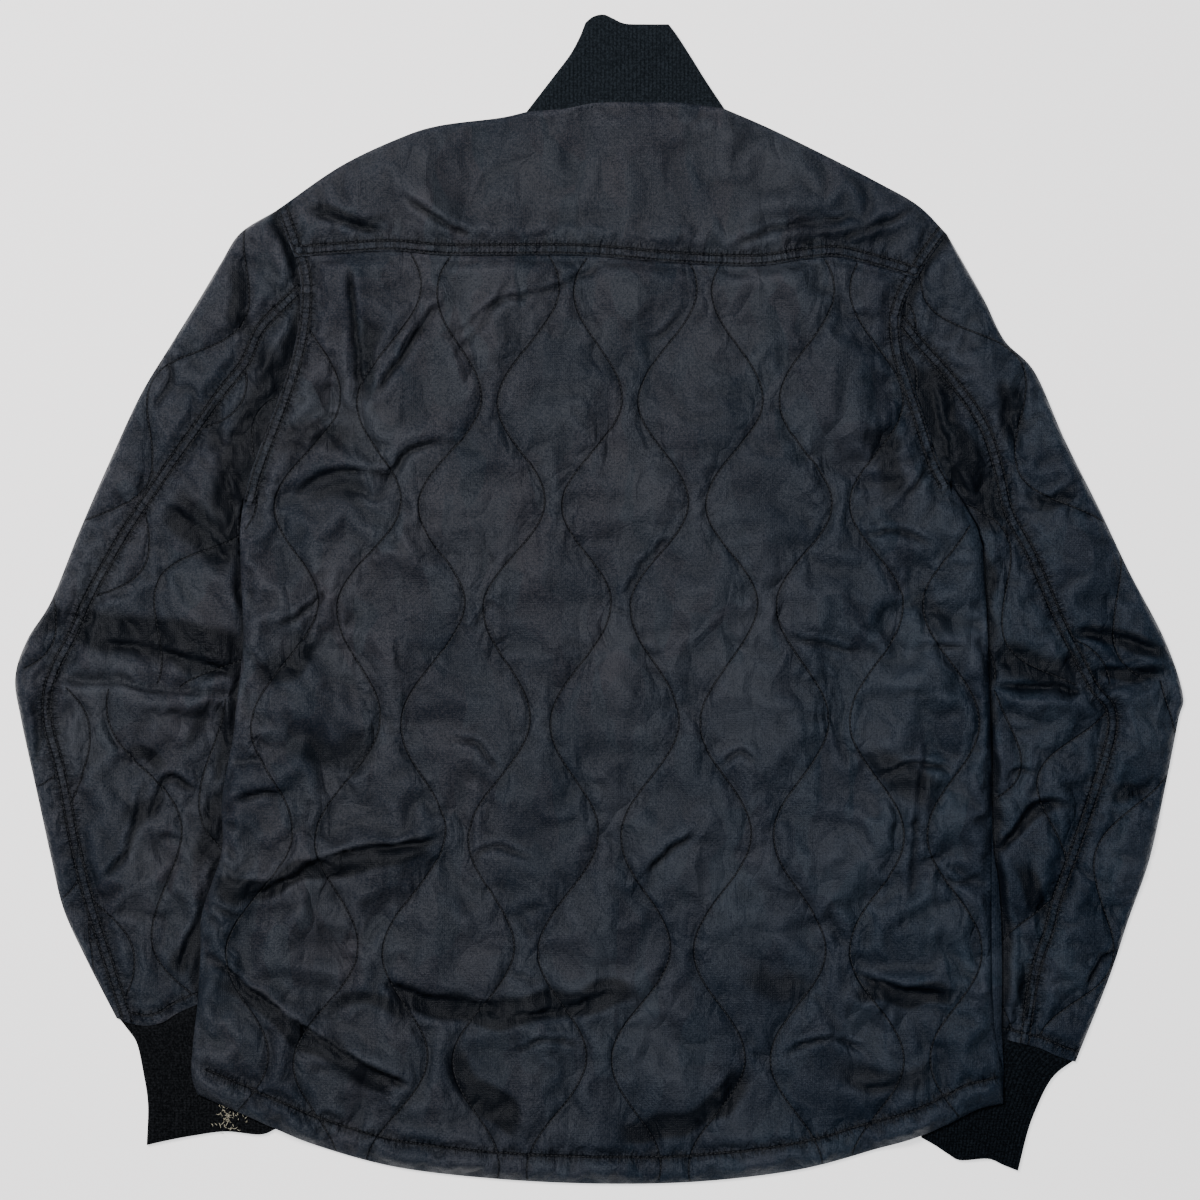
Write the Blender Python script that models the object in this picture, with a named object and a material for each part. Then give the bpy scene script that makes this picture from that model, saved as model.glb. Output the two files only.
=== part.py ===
"""Quilted nylon liner jacket, laid flat on its front with both forearms tucked under the body.

Frame: metres, +X to the wearer's right, +Y from the hem to the collar, +Z up from the table.
Every piece is a cloth wall over a plan outline. A piece that runs round a folded edge (a sleeve
panel, a cuff, the collar) is a top sheet and a bottom sheet that share that folded edge.
The plan tables are in millimetres, and curve() turns them into metres.
"""

from collections import namedtuple

import bmesh
import bpy
import numpy as np
from mathutils import Matrix
from mathutils.geometry import delaunay_2d_cdt

MM = 0.001

# ---- Driving dimensions, metres ----
LOW_WALL = 2.4 * MM  # cloth that rests on the table
LAYER_GAP = 0.3 * MM  # between two layers, and between two pieces at a seam
HIGH_WALL = 1.6 * MM  # upper cloth at a line of stitches, where the padding is pinched
FOLD_WALL = 2.2 * MM  # cloth at a folded edge
HIGH_BOTTOM = LOW_WALL + LAYER_GAP
HIGH_TOP = HIGH_BOTTOM + HIGH_WALL
FOLD_HEIGHT = LOW_WALL + LAYER_GAP / 2
TUCK_LIFT = HIGH_TOP + LAYER_GAP  # the body rises by this over a tucked forearm
TUCK_RAMP = 26 * MM  # plan distance over which it comes down again
TUCK_MARGIN = 8 * MM  # it stays level this far beside the forearm
RAMP_SLACK = 0.7 * MM  # the fronts are thinner by this halfway down the ramp

PLACES = 6  # decimals of a metre that tell two points apart
STATION = 13 * MM  # spacing of the points along an edge
NET = 12.5 * MM  # spacing of the points on a ramp
PLAIN_NET = 40 * MM  # and on a flat surface
EDGE_CLEAR = 4.5 * MM  # no loose point lies nearer an edge
POINT_CLEAR = 7.5 * MM  # nor nearer another point
PUFF_SHARES = (0.5, 0.25, 0.75)  # where points lie across a channel of padding
LINES = 12  # quilting lines counted each way from number 0

SEAM_BAND = 8 * MM  # width of a double-stitched felled seam
BAND_RISE = 0.9 * MM
HEM_BAND = 18 * MM
HEM_ROLL = 1.8 * MM
END_BAND = 7 * MM  # stitched edge of a sleeve, above its cuff
END_RISE = 0.5 * MM
EDGE_ROUND = 8 * MM  # radius in plan of a folded edge's upper side
FLAT_ROUND = 3 * MM  # and of its lower side

QUILT_BELLY = 80 * MM  # widest stretch between two quilting lines
PUFF = 6.2 * MM  # height of the padding there
SLEEVE_PUFF = 5.4 * MM
YOKE_PUFF = 2.2 * MM
TUCK_FADE = 12 * MM  # a sleeve's padding goes flat over this distance beside the body

CREASE_LIP = 4.2 * MM  # cloth standing up along the inside of the bent elbow
CREASE_STEP = 2.5 * MM
CREASE_RUN = 22 * MM

RIB_RISE = 0.7 * MM
CUFF_RIBS = 32  # across the top of a cuff
CUFF_ROWS = 4
CUFF_WALL = 1.6 * MM
COLLAR_RIBS = {"collar_left": 15, "collar_top": 21, "collar_right": 14}
NECK_STEP = 10  # half ribs between two points of the neck seam
COLLAR_ROWS = (14 * MM, 34 * MM)  # heights of the points on a rib above the neck seam
COLLAR_WALL = 2.3 * MM

# ---- Plan tables, millimetres ----
# Edges shared by two pieces are listed once. Left is the wearer's left, at -X.
EDGES_MM = {
    "neck": ((83, 324), (69, 326), (55, 328), (37, 328), (0, 328), (-23, 324), (-48, 322)),
    "shoulder_left": ((-48, 322), (-66, 318), (-105, 313), (-131, 305), (-171, 286), (-213, 257)),
    "shoulder_right": ((230, 241), (211, 260), (185, 275), (152, 292), (113, 311), (83, 324)),
    "armhole_left_top": ((-213, 257), (-208, 243), (-201, 226)),
    "armhole_left_mid": ((-201, 226), (-198, 215), (-197, 205)),
    "armhole_left_low": (
        (-197, 205), (-198, 188), (-201, 169), (-208, 144), (-217, 119), (-229, 87), (-235, 65)
    ),
    "armhole_right_top": ((210, 212), (219, 226), (230, 241)),
    "armhole_right_mid": ((199, 185), (203, 198), (210, 212)),
    "armhole_right_low": ((232, 77), (224, 93), (215, 121), (207, 145), (201, 165), (199, 185)),
    "yoke_seam": (
        (210, 212), (175, 222), (155, 226), (133, 224), (102, 220), (49, 222), (-15, 227),
        (-98, 227), (-137, 230), (-172, 228), (-201, 226),
    ),
    "side_left_top": ((-235, 65), (-237, 47), (-237, 29)),
    "side_left_low": (
        (-237, 29), (-235, -27), (-239, -67), (-242, -93), (-249, -133), (-249, -166),
        (-262, -207), (-263, -232), (-265, -266), (-268, -293), (-269, -314), (-265, -327),
    ),
    "side_right_top": ((253, 36), (247, 53), (232, 77)),
    "side_right_low": (
        (267, -333), (266, -308), (261, -284), (259, -232), (259, -106), (258, -67), (256, -13),
        (253, 36),
    ),
    "side_right_front": (
        (267, -333), (267, -308), (266, -284), (266, -232), (265, -150), (264, -106), (259, -67),
        (256, -13), (253, 36),
    ),
    "hem": (
        (-265, -327), (-240, -338), (-213, -350), (-181, -363), (-131, -376), (-65, -383.5),
        (1, -386.5), (67, -385), (133, -377), (185, -363), (211, -355), (232, -346), (250, -337),
        (267, -333),
    ),
    "front_hem_left": ((-265, -327), (-240, -337), (-213, -346), (-131, -358), (0, -364)),
    "front_hem_right": ((0, -364), (133, -358), (211, -347), (250, -336), (267, -333)),
    "centre_front": ((0, -364), (3, -200), (8, 0), (13, 150), (16, 252)),
    "front_neck_left": ((16, 252), (-8, 257), (-30, 274), (-43, 298), (-48, 322)),
    "front_neck_right": ((83, 324), (77, 298), (63, 274), (40, 257), (16, 252)),
    "collar_end": ((16, 252), (17, 305)),
    "collar_left": ((-48, 322), (-28, 348), (-19, 360), (-13, 371), (-9, 381)),
    "collar_top": ((-9, 381), (-4, 385), (3, 386.5), (9, 384), (17, 380.5), (30, 380), (46, 380)),
    "collar_right": ((83, 324), (71, 342), (61, 358), (52, 372), (46, 380)),
    "collar_free_left": ((17, 305), (4, 318), (-5, 345), (-9, 381)),
    "collar_free_right": ((46, 380), (41, 345), (31, 318), (17, 305)),
    "sleeve_left_outer": (
        (-213, 257), (-237, 242), (-250, 222), (-265, 197), (-283, 168), (-303, 135), (-323, 92),
        (-343, 46), (-362, -1), (-378, -27), (-386, -52), (-382, -80), (-372, -126),
        (-362, -172), (-354, -205), (-339, -238), (-319, -277),
    ),
    "sleeve_left_seam": (
        (-197, 205), (-208, 195), (-224, 178), (-234, 156), (-249, 137), (-263, 117), (-290, 79),
        (-316, 39), (-336, 3), (-348, -24), (-358, -43), (-364, -61), (-364, -82), (-355, -117),
        (-346, -163), (-337, -199), (-324, -240), (-311, -280),
    ),
    "sleeve_left_front": (
        (-197, 205), (-228, 150), (-266, 80), (-300, 10), (-312, -60), (-300, -130), (-285, -200),
        (-266, -268),
    ),
    "sleeve_left_inner": (
        (-237, 29), (-230, 5), (-217, -30), (-208, -62), (-205, -105), (-204, -150), (-205, -200),
        (-209, -261),
    ),
    "sleeve_left_end_a": ((-319, -277), (-311, -280)),
    "sleeve_left_end_b": ((-311, -280), (-300, -282), (-289, -280), (-279, -274), (-266, -268)),
    "sleeve_left_end_c": ((-266, -268), (-236, -262), (-209, -261)),
    "sleeve_right_outer": (
        (230, 241), (242, 220), (255, 197), (268, 171), (288, 150), (308, 105), (331, 59),
        (350, 19), (374, -27), (386, -63), (383, -80), (374, -126), (364, -172), (350, -212),
        (337, -251), (315, -306),
    ),
    "sleeve_right_seam": (
        (199, 185), (212, 169), (234, 144), (254, 115), (264, 86), (271, 57), (286, 29),
        (303, -11), (319, -43), (329, -61), (338, -72), (339, -88), (333, -110), (325, -135),
        (314, -167), (303, -197), (297, -220), (288, -247), (281, -294),
    ),
    "sleeve_right_front": (
        (199, 185), (222, 140), (262, 80), (296, 10), (310, -60), (302, -130), (285, -200),
        (264, -290),
    ),
    "sleeve_right_inner": (
        (253, 36), (246, 10), (232, -25), (217, -58), (209, -100), (206, -150), (205, -200),
        (205, -274),
    ),
    "sleeve_right_end_a": ((315, -306), (303, -302), (292, -297), (281, -294)),
    "sleeve_right_end_b": ((281, -294), (264, -290)),
    "sleeve_right_end_c": ((264, -290), (236, -283), (205, -274)),
    "cuff_left_outer": (
        (-319, -277), (-311, -287), (-305, -296), (-301, -314), (-298, -335), (-299, -361)
    ),
    "cuff_left_hem": ((-299, -361), (-286, -358), (-270, -355), (-247, -352), (-224, -354), (-213, -350)),
    "cuff_left_inner": ((-209, -261), (-215, -275), (-217, -300), (-215, -325), (-213, -350)),
    "cuff_right_outer": ((315, -306), (302, -315), (295, -324), (288, -339), (283, -353), (277, -378)),
    "cuff_right_hem": (
        (277, -378), (267, -374), (257, -370), (239, -371), (231, -367), (222, -361), (213, -356)
    ),
    "cuff_right_inner": ((205, -274), (210, -290), (213, -320), (213, -356)),
}

# Loops of edges, counter-clockwise from above. A minus runs an edge backwards.
LOOPS = {
    "back_body": (
        "hem side_right_low side_right_top armhole_right_low armhole_right_mid yoke_seam"
        " armhole_left_mid armhole_left_low side_left_top side_left_low"
    ),
    "body": (
        "hem side_right_front side_right_top armhole_right_low armhole_right_mid armhole_right_top"
        " shoulder_right neck shoulder_left armhole_left_top armhole_left_mid armhole_left_low"
        " side_left_top side_left_low"
    ),
    "back_yoke": "-yoke_seam armhole_right_top shoulder_right neck shoulder_left armhole_left_top",
    "front_left": (
        "front_hem_left centre_front front_neck_left shoulder_left armhole_left_top"
        " armhole_left_mid armhole_left_low side_left_top side_left_low"
    ),
    "front_right": (
        "front_hem_right side_right_front side_right_top armhole_right_low armhole_right_mid"
        " armhole_right_top shoulder_right front_neck_right -centre_front"
    ),
    "sleeve_outer_left_top": (
        "sleeve_left_outer sleeve_left_end_a -sleeve_left_seam -armhole_left_mid -armhole_left_top"
    ),
    "sleeve_outer_left_under": (
        "sleeve_left_outer sleeve_left_end_a sleeve_left_end_b -sleeve_left_front"
        " -armhole_left_mid -armhole_left_top"
    ),
    "sleeve_inner_left_top": (
        "sleeve_left_seam sleeve_left_end_b sleeve_left_end_c -sleeve_left_inner -side_left_top"
        " -armhole_left_low"
    ),
    "sleeve_inner_left_under": (
        "sleeve_left_front sleeve_left_end_c -sleeve_left_inner -side_left_top -armhole_left_low"
    ),
    "sleeve_outer_right_top": (
        "-sleeve_right_outer -armhole_right_top -armhole_right_mid sleeve_right_seam"
        " -sleeve_right_end_a"
    ),
    "sleeve_outer_right_under": (
        "-sleeve_right_outer -armhole_right_top -armhole_right_mid sleeve_right_front"
        " -sleeve_right_end_b -sleeve_right_end_a"
    ),
    "sleeve_inner_right_top": (
        "-sleeve_right_seam -armhole_right_low -side_right_top sleeve_right_inner"
        " -sleeve_right_end_c -sleeve_right_end_b"
    ),
    "sleeve_inner_right_under": (
        "-sleeve_right_front -armhole_right_low -side_right_top sleeve_right_inner"
        " -sleeve_right_end_c"
    ),
    "cuff_left": (
        "cuff_left_outer cuff_left_hem -cuff_left_inner -cuff_left_top"
    ),
    "cuff_right": (
        "-cuff_right_hem -cuff_right_outer cuff_right_top cuff_right_inner"
    ),
    "collar_back": "-neck collar_right -collar_top -collar_left",
    "collar_front_left": "-front_neck_left collar_end collar_free_left -collar_left",
    "collar_front_right": "-front_neck_right collar_right collar_free_right -collar_end",
}

# Edges where a piece runs round from its top sheet to its bottom sheet.
FOLDED = {
    "sleeve_outer_left": ("sleeve_left_outer",),
    "sleeve_inner_left": ("sleeve_left_inner", "side_left_top"),
    "sleeve_outer_right": ("sleeve_right_outer",),
    "sleeve_inner_right": ("sleeve_right_inner", "side_right_top"),
    "cuff_left": ("cuff_left_outer", "cuff_left_inner"),
    "cuff_right": ("cuff_right_outer", "cuff_right_inner"),
    "collar": ("collar_left", "collar_right"),
}

# Quilting runs in wavy lines that mirror each other. In its own frame (along, across) line i lies
# at across = centre + drift * along + i * (pitch + fan * along) +- wave, and turns back at each
# row. All in mm; hand 1 measures across to the right of the direction, -1 to its left.
Quilt = namedtuple("Quilt", "origin direction hand centre drift pitch fan wave rows")
QUILTS = {
    "back": Quilt((183.5, 0), (0, 1), 1, 0, 0, 48.3, -0.0136, 17.5,
                  (-448, -376, -304, -232, -156, -81, -4, 63, 131, 204, 277)),
    "outer_left": Quilt((-209, 258), (-0.51, -0.86), -1, 0, 0, 47, 0, 16,
                        (-47, 16, 78, 141, 203, 266, 328, 391, 454, 517, 580)),
    "inner_left_arm": Quilt((-209, 258), (-0.51, -0.86), -1, 25, 0, 47, 0, 17,
                            (-1, 62, 125, 188, 251, 314, 377, 440)),
    "inner_left_fore": Quilt((-381, -80), (0.31, -0.951), -1, 26, -0.122, 47.5, 0, 17,
                             (-136, -60, 16, 96, 168, 240, 312)),
    "outer_right_arm": Quilt((228, 240), (0.477, -0.879), 1, 13, 0, 47, 0, 18,
                             (-102, -35, 32, 98, 162, 228, 300, 366, 432)),
    "outer_right_fore": Quilt((383, -80), (-0.291, -0.957), 1, 11, 0, 47, 0, 16,
                              (-45, 27, 99, 168, 228, 296, 364)),
    "inner_right_arm": Quilt((228, 240), (0.477, -0.879), 1, 75, 0, 47, 0, 17,
                             (-3, 62, 127, 192, 257, 322, 387)),
    "inner_right_fore": Quilt((383, -80), (-0.291, -0.957), 1, 64, -0.05, 47, 0, 17,
                              (-61, 1, 63, 120, 186, 252, 318)),
}
ELBOW_MM = {
    "left": ((-390, -46), (-356, -55), (-315, -57), (-274, -61), (-239, -65), (-198, -68)),
    "right": ((198, -52), (260, -57), (300, -59), (329, -61), (373, -50), (392, -44)),
}

# The largest loose folds of the back and yoke, mm: where each runs, how far it stands up, and
# the width of its foot.
Fold = namedtuple("Fold", "piece rise width path")
FOLDS = (
    Fold("back_body", 4.4, 36, ((-246, -199), (-196, -173), (-162, -163), (-129, -166), (-104, -156))),
    Fold("back_body", 3.2, 28, ((-247, -126), (-225, -119), (-196, -118))),
    Fold("back_body", 3.6, 34, ((-252, -238), (-221, -266), (-195, -285), (-131, -317))),
    Fold("back_body", 2.8, 30, ((-158, 137), (-136, 170), (-112, 203))),
    Fold("back_body", 2.6, 28, ((-149, 82), (-130, 105), (-100, 115))),
    Fold("back_body", 2.8, 28, ((20, -182), (44, -160), (68, -145))),
    Fold("back_body", 3.6, 32, ((176, -262), (205, -256), (240, -262))),
    Fold("back_yoke", 2.4, 30, ((-140, 278), (-110, 260), (-78, 240))),
    Fold("back_yoke", 2.4, 30, ((205, 256), (165, 246), (122, 238))),
    Fold("back_yoke", 1.8, 28, ((85, 246), (115, 258), (165, 266))),
)

SIDES = ("left", "right")

# Principled BSDF values: base colour, roughness, sheen weight
FINISHES = {
    "nylon": ((0.030, 0.032, 0.038, 1.0), 0.45, 0.1),
    "rib_knit": ((0.010, 0.012, 0.015, 1.0), 0.9, 0.25),
}


# ---- Plan geometry: arrays of (x, y) in metres ----
def curve(points_mm, step=STATION):
    """A smooth line through the points, as evenly spaced stations."""
    knots = np.array(points_mm, float) * MM
    before = 2 * knots[0] - knots[1]
    after = 2 * knots[-1] - knots[-2]
    padded = np.vstack([before, knots, after])
    t = np.linspace(0, 1, 24, endpoint=False)[:, None]
    spans = []
    for a, b, c, d in zip(padded, padded[1:], padded[2:], padded[3:]):
        bend = 2 * a - 5 * b + 4 * c - d
        twist = 3 * b - a - 3 * c + d
        spans.append(0.5 * (2 * b + (c - a) * t + bend * t**2 + twist * t**3))
    fine = np.vstack([*spans, knots[-1:]])
    return resample(fine, max(1, round(path_length(fine) / step)))


def path_length(path):
    return float(np.linalg.norm(np.diff(path, axis=0), axis=1).sum())


def resample(path, segments):
    """Evenly spaced points on the path's own chords."""
    run = np.concatenate([[0], np.cumsum(np.linalg.norm(np.diff(path, axis=0), axis=1))])
    at = np.linspace(0, run[-1], segments + 1)
    return np.column_stack([np.interp(at, run, path[:, 0]), np.interp(at, run, path[:, 1])])


def distance(points, path):
    """Distance from each point to the nearest place on the path."""
    nearest = np.full(len(points), np.inf)
    for a, b in zip(path, path[1:]):
        span = b - a
        share = np.clip(((points - a) @ span) / max(span @ span, 1e-18), 0, 1)
        nearest = np.minimum(nearest, np.linalg.norm(points - a - share[:, None] * span, axis=1))
    return nearest


def inside(points, loop):
    """Whether each point is inside the closed loop."""
    found = np.zeros(len(points), bool)
    for (ax, ay), (bx, by) in zip(loop, np.roll(loop, -1, axis=0)):
        if ay == by:
            continue
        crosses = (ay > points[:, 1]) != (by > points[:, 1])
        found ^= crosses & (points[:, 0] < ax + (points[:, 1] - ay) * (bx - ax) / (by - ay))
    return found


def smooth(share):
    """0 to 1 with level ends."""
    share = np.clip(share, 0, 1)
    return share * share * (3 - 2 * share)


def offset(path, by):
    """The path moved to its left."""
    along = np.gradient(path, axis=0)
    along /= np.linalg.norm(along, axis=1)[:, None]
    return path + by * np.column_stack([-along[:, 1], along[:, 0]])


def inset(loop, margins):
    """The loop moved inwards, each side by its own margin, with square corners."""
    moved = []
    sides = np.roll(loop, -1, axis=0) - loop
    normals = np.column_stack([-sides[:, 1], sides[:, 0]]) / np.linalg.norm(sides, axis=1)[:, None]
    for i, point in enumerate(loop):
        pair = np.array([normals[i - 1], normals[i]])
        reach = np.array([margins[i - 1], margins[i]])
        step = pair.sum(axis=0) / np.linalg.norm(pair.sum(axis=0)) * reach.max()
        if abs(np.linalg.det(pair)) > 1e-6:
            corner = np.linalg.solve(pair, reach)
            if np.linalg.norm(corner) < 2.2 * reach.max():
                step = corner
        moved.append(point + step)
    return np.array(moved)


def at_x(path, x):
    """The path's points at these values of x, whichever way it runs."""
    order = np.argsort(path[:, 0])
    return np.column_stack([x, np.interp(x, path[order, 0], path[order, 1])])


def subdivide(path, total):
    """The path with its points kept and its chords cut into so many parts in all."""
    run = np.cumsum(np.linalg.norm(np.diff(path, axis=0), axis=1))
    counts = np.diff(np.round(total * run / run[-1]).astype(int), prepend=0)
    parts = [
        np.linspace(start, end, count, endpoint=False)
        for start, end, count in zip(path, path[1:], counts)
    ]
    return np.vstack([*parts, path[-1:]])


EDGES = {name: curve(points) for name, points in EDGES_MM.items()}
rib_x = []
for name, ribs in COLLAR_RIBS.items():
    start, end = sorted(EDGES[name][[0, -1], 0])
    rib_x.extend(np.linspace(start, end, 2 * ribs + 1)[bool(rib_x) :])
    EDGES[name] = at_x(EDGES[name], np.linspace(*EDGES[name][[0, -1], 0], 2 * ribs + 1))
EDGES["neck"] = at_x(EDGES["neck"], np.array(rib_x[::NECK_STEP])[::-1])
for side in SIDES:
    parts = [EDGES[f"sleeve_{side}_end_{letter}"] for letter in "abc"]
    EDGES[f"cuff_{side}_top"] = np.vstack([parts[0][:-1], parts[1][:-1], parts[2]])
    for name in (f"cuff_{side}_outer", f"cuff_{side}_inner"):
        EDGES[name] = resample(EDGES[name], CUFF_ROWS)


def edge(signed_name):
    name = signed_name.lstrip("-")
    return EDGES[name][::-1] if signed_name.startswith("-") else EDGES[name]


def loop_points(loop_name):
    return np.vstack([edge(signed)[:-1] for signed in LOOPS[loop_name].split()])


# ---- Sheets: an outer skin and an inner skin over the same outline ----
# rows gives, for each named edge, the indices of the skin's points along it.
Skin = namedtuple("Skin", "points faces rows")


class Outline:
    """A loop of edges as two rings of points: outer, and inner, which is set in at the folds."""

    def __init__(self, loop_name, folded=(), like=None, parts=None):
        """parts cuts a named edge into that many more, smaller parts; like is the outline of the
        sheet that this one meets at the folds.
        """
        self.names = LOOPS[loop_name].split()
        self.folded = folded
        self.rows = {}
        margins = []
        ring = []
        for signed in self.names:
            name = signed.lstrip("-")
            stations = edge(signed)
            if parts and name in parts:
                stations = subdivide(stations, parts[name])
            self.rows[name] = list(range(len(ring), len(ring) + len(stations)))
            ring.extend(stations[:-1])
            margins.extend([LAYER_GAP / 2 + FOLD_WALL * (name in folded)] * (len(stations) - 1))
        self.rows[name][-1] = 0
        self.outer = inset(np.array(ring), [LAYER_GAP / 2] * len(ring)).round(PLACES)
        self.inner = inset(np.array(ring), margins).round(PLACES)
        if like is not None:
            self.copy_folds(like)
        self.thin_inner()

    def copy_folds(self, other):
        """Takes the other sheet's points along the folded edges, so that the two sheets meet."""
        for name in self.folded:
            if name in self.rows and name in other.rows:
                self.outer[self.rows[name]] = other.outer[other.rows[name]]
                self.inner[self.rows[name]] = other.inner[other.inner_rows[name]]

    def thin_inner(self):
        """Leaves out inner points that crowd a fold: close ones along it, and those of a cut edge
        that the inset corner has passed. inner_rows repeats a neighbour in place of each.
        """
        stands_for = np.arange(len(self.outer))
        folds = [self.rows[name] for name in self.folded if name in self.rows]
        corners = {row[end] for row in folds for end in (0, -1)}
        for row in folds:
            last = row[0]
            for point in row[1:-1]:
                if np.linalg.norm(self.outer[point] - self.outer[last]) < 0.6 * STATION:
                    stands_for[point] = last
                else:
                    last = point
        for name, row in self.rows.items():
            for corner in {row[0], row[-1]} & corners:
                if name not in self.folded:
                    away = np.linalg.norm(self.outer[row] - self.outer[corner], axis=1)
                    stands_for[np.array(row)[away < 1.8 * FOLD_WALL]] = corner
        kept, places = np.unique(stands_for, return_inverse=True)
        self.inner = self.inner[kept]
        self.inner_rows = {name: [places[point] for point in row] for name, row in self.rows.items()}

    def turned(self, name, row):
        """The row from the edge's own direction to the loop's, or back."""
        return row[::-1] if f"-{name}" in self.names else row

    def along(self, name):
        """The outer ring's points along an edge, in the edge's own direction."""
        return self.outer[self.turned(name, self.rows[name])]

    def line_inside(self, name, by):
        """The named edge moved into the outline."""
        signed = name if name in self.names else f"-{name}"
        return offset(edge(signed), by)


def lattice(loop, spacing):
    """Staggered points over the loop's box. Every loop takes them from the same lattice."""
    low = np.floor(loop.min(axis=0) / spacing).astype(int)
    high = np.ceil(loop.max(axis=0) / spacing).astype(int)
    x, y = np.meshgrid(np.arange(low[0], high[0] + 1), np.arange(low[1], high[1] + 1))
    return np.column_stack([(x + 0.5 * (y % 2)).ravel(), y.ravel()]) * spacing


def net(ring, rows, loose, lines=(), edge_clear=EDGE_CLEAR, point_clear=POINT_CLEAR):
    """A skin of triangles inside the ring. A line is (points, distance kept from the ring) and
    stays a crease; the loose points fill in where there is room.
    """
    points = list(ring)
    creases = []
    closed = np.vstack([ring, ring[:1]])
    for line, clear in lines:
        fits = inside(line, ring) & (distance(line, closed) > clear)
        last = None
        for point, fit in zip(line, fits):
            if fit and np.linalg.norm(np.array(points) - point, axis=1).min() > 0.35 * point_clear:
                points.append(point)
                if last is not None:
                    creases.append((last, len(points) - 1))
                last = len(points) - 1
            else:
                last = None
    loose = loose[inside(loose, ring)]
    for point in loose[distance(loose, closed) > edge_clear]:
        if np.linalg.norm(np.array(points) - point, axis=1).min() > point_clear:
            points.append(point)
    corners, _, faces, *_ = delaunay_2d_cdt(
        [tuple(point) for point in points], creases, [list(range(len(ring)))], 1, 1e-9
    )
    return Skin(np.array([tuple(corner) for corner in corners]), faces, rows)


def plain_net(ring, rows, fine_where=None, lines=()):
    """A coarse skin, with finer points where fine_where says so."""
    loose = lattice(ring, PLAIN_NET)
    if fine_where is not None:
        fine = lattice(ring, NET)
        loose = np.vstack([fine[fine_where(fine)], loose])
    return net(ring, rows, loose, lines, edge_clear=6 * MM, point_clear=10 * MM)


def column_net(columns, rows):
    """A skin from columns of points that run side by side."""
    starts = np.cumsum([0] + [len(column) for column in columns])
    faces = []
    for start, left, right in zip(starts, columns, columns[1:]):
        first = list(enumerate(left, start))
        second = list(enumerate(right, start + len(left)))
        faces.extend(strip(first, second))
    return Skin(np.vstack(columns), faces, rows)


def strip(first, second):
    """Triangles between two rows of (index, place) that run side by side."""
    faces = []
    i = j = 0
    while i < len(first) - 1 or j < len(second) - 1:
        if j == len(second) - 1:
            forward = True
        elif i == len(first) - 1:
            forward = False
        else:
            ahead = np.linalg.norm(first[i + 1][1] - second[j][1])
            forward = ahead <= np.linalg.norm(second[j + 1][1] - first[i][1])
        if forward:
            faces.append((first[i][0], first[i + 1][0], second[j][0]))
            i += 1
        else:
            faces.append((first[i][0], second[j + 1][0], second[j][0]))
            j += 1
    return faces


class Cloth:
    """Collects one piece's triangles. Points in the same place are one point."""

    def __init__(self, name, finish, folded=()):
        self.name = name
        self.finish = finish
        self.folded = folded
        self.points = []
        self.index = {}
        self.faces = []

    def add_point(self, point):
        key = tuple(round(float(value), PLACES) for value in point)
        if key not in self.index:
            self.index[key] = len(self.points)
            self.points.append(key)
        return self.index[key]

    def add_faces(self, faces, ids):
        for face in faces:
            corners = tuple(ids[corner] for corner in face)
            if len(set(corners)) == 3:
                self.faces.append(corners)

    def add_sheet(self, outer, outer_heights, inner, inner_heights):
        """Both skins of a sheet, and a rim along each cut edge. Folded edges stay open for the
        piece's other sheet.
        """
        sides = []
        for skin, heights in ((outer, outer_heights), (inner, inner_heights)):
            heights = np.array(heights)
            for name in self.folded:
                if name in skin.rows:
                    heights[skin.rows[name]] = FOLD_HEIGHT
            places = np.column_stack([skin.points, heights])
            ids = [self.add_point(place) for place in places]
            self.add_faces(skin.faces, ids)
            sides.append((ids, places))
        everything = range(len(self.points))
        for name in outer.rows:
            if name not in self.folded:
                (outer_ids, outer_places), (inner_ids, inner_places) = sides
                rim_outer = [(outer_ids[i], outer_places[i, :2]) for i in outer.rows[name]]
                rim_inner = [(inner_ids[i], inner_places[i, :2]) for i in inner.rows[name]]
                self.add_faces(strip(rim_outer, rim_inner), everything)

    def build(self):
        mesh = bpy.data.meshes.new(self.name)
        mesh.from_pydata(self.points, [], self.faces)
        shaped = bmesh.new()
        shaped.from_mesh(mesh)
        bmesh.ops.recalc_face_normals(shaped, faces=shaped.faces)
        shaped.to_mesh(mesh)
        shaped.free()
        mesh.materials.append(material(self.finish))
        made = bpy.data.objects.new(self.name, mesh)
        bpy.context.scene.collection.objects.link(made)


# ---- Heights ----
def ring_of(path):
    return np.vstack([path, path[:1]])


def gap_to(points, region):
    """Distance to a region, 0 inside it."""
    away = distance(points, ring_of(region))
    away[inside(points, region)] = 0
    return away


def tucked_region(side):
    """Plan region that a forearm and its cuff take up under the body."""
    beyond = 0.45 if side == "right" else -0.45
    inner = EDGES[f"sleeve_{side}_inner"]
    cuff = EDGES[f"cuff_{side}_inner"]
    return np.vstack([inner, cuff, [[beyond, cuff[-1, 1]], [beyond, inner[0, 1]]]])


BODY = loop_points("body")
BODY_SIDES = {"left": "side_left_low", "right": "side_right_front"}
TUCKED = [tucked_region("left"), tucked_region("right")]


def tuck_gap(points):
    return np.minimum(*[gap_to(points, region) for region in TUCKED])


def ramp(points):
    """1 over a tucked forearm, falling to 0 beside it."""
    return 1 - smooth((tuck_gap(points) - TUCK_MARGIN) / TUCK_RAMP)


def on_ramp(points):
    away = tuck_gap(points)
    return (away > 0) & (away < TUCK_MARGIN + TUCK_RAMP)


def low_top(points):
    """Upper side of the cloth that rests on the table, or on a tucked forearm."""
    share = ramp(points)
    return LOW_WALL + TUCK_LIFT * share - RAMP_SLACK * 4 * share * (1 - share)


def low_bottom(points):
    return TUCK_LIFT * ramp(points)


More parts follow.
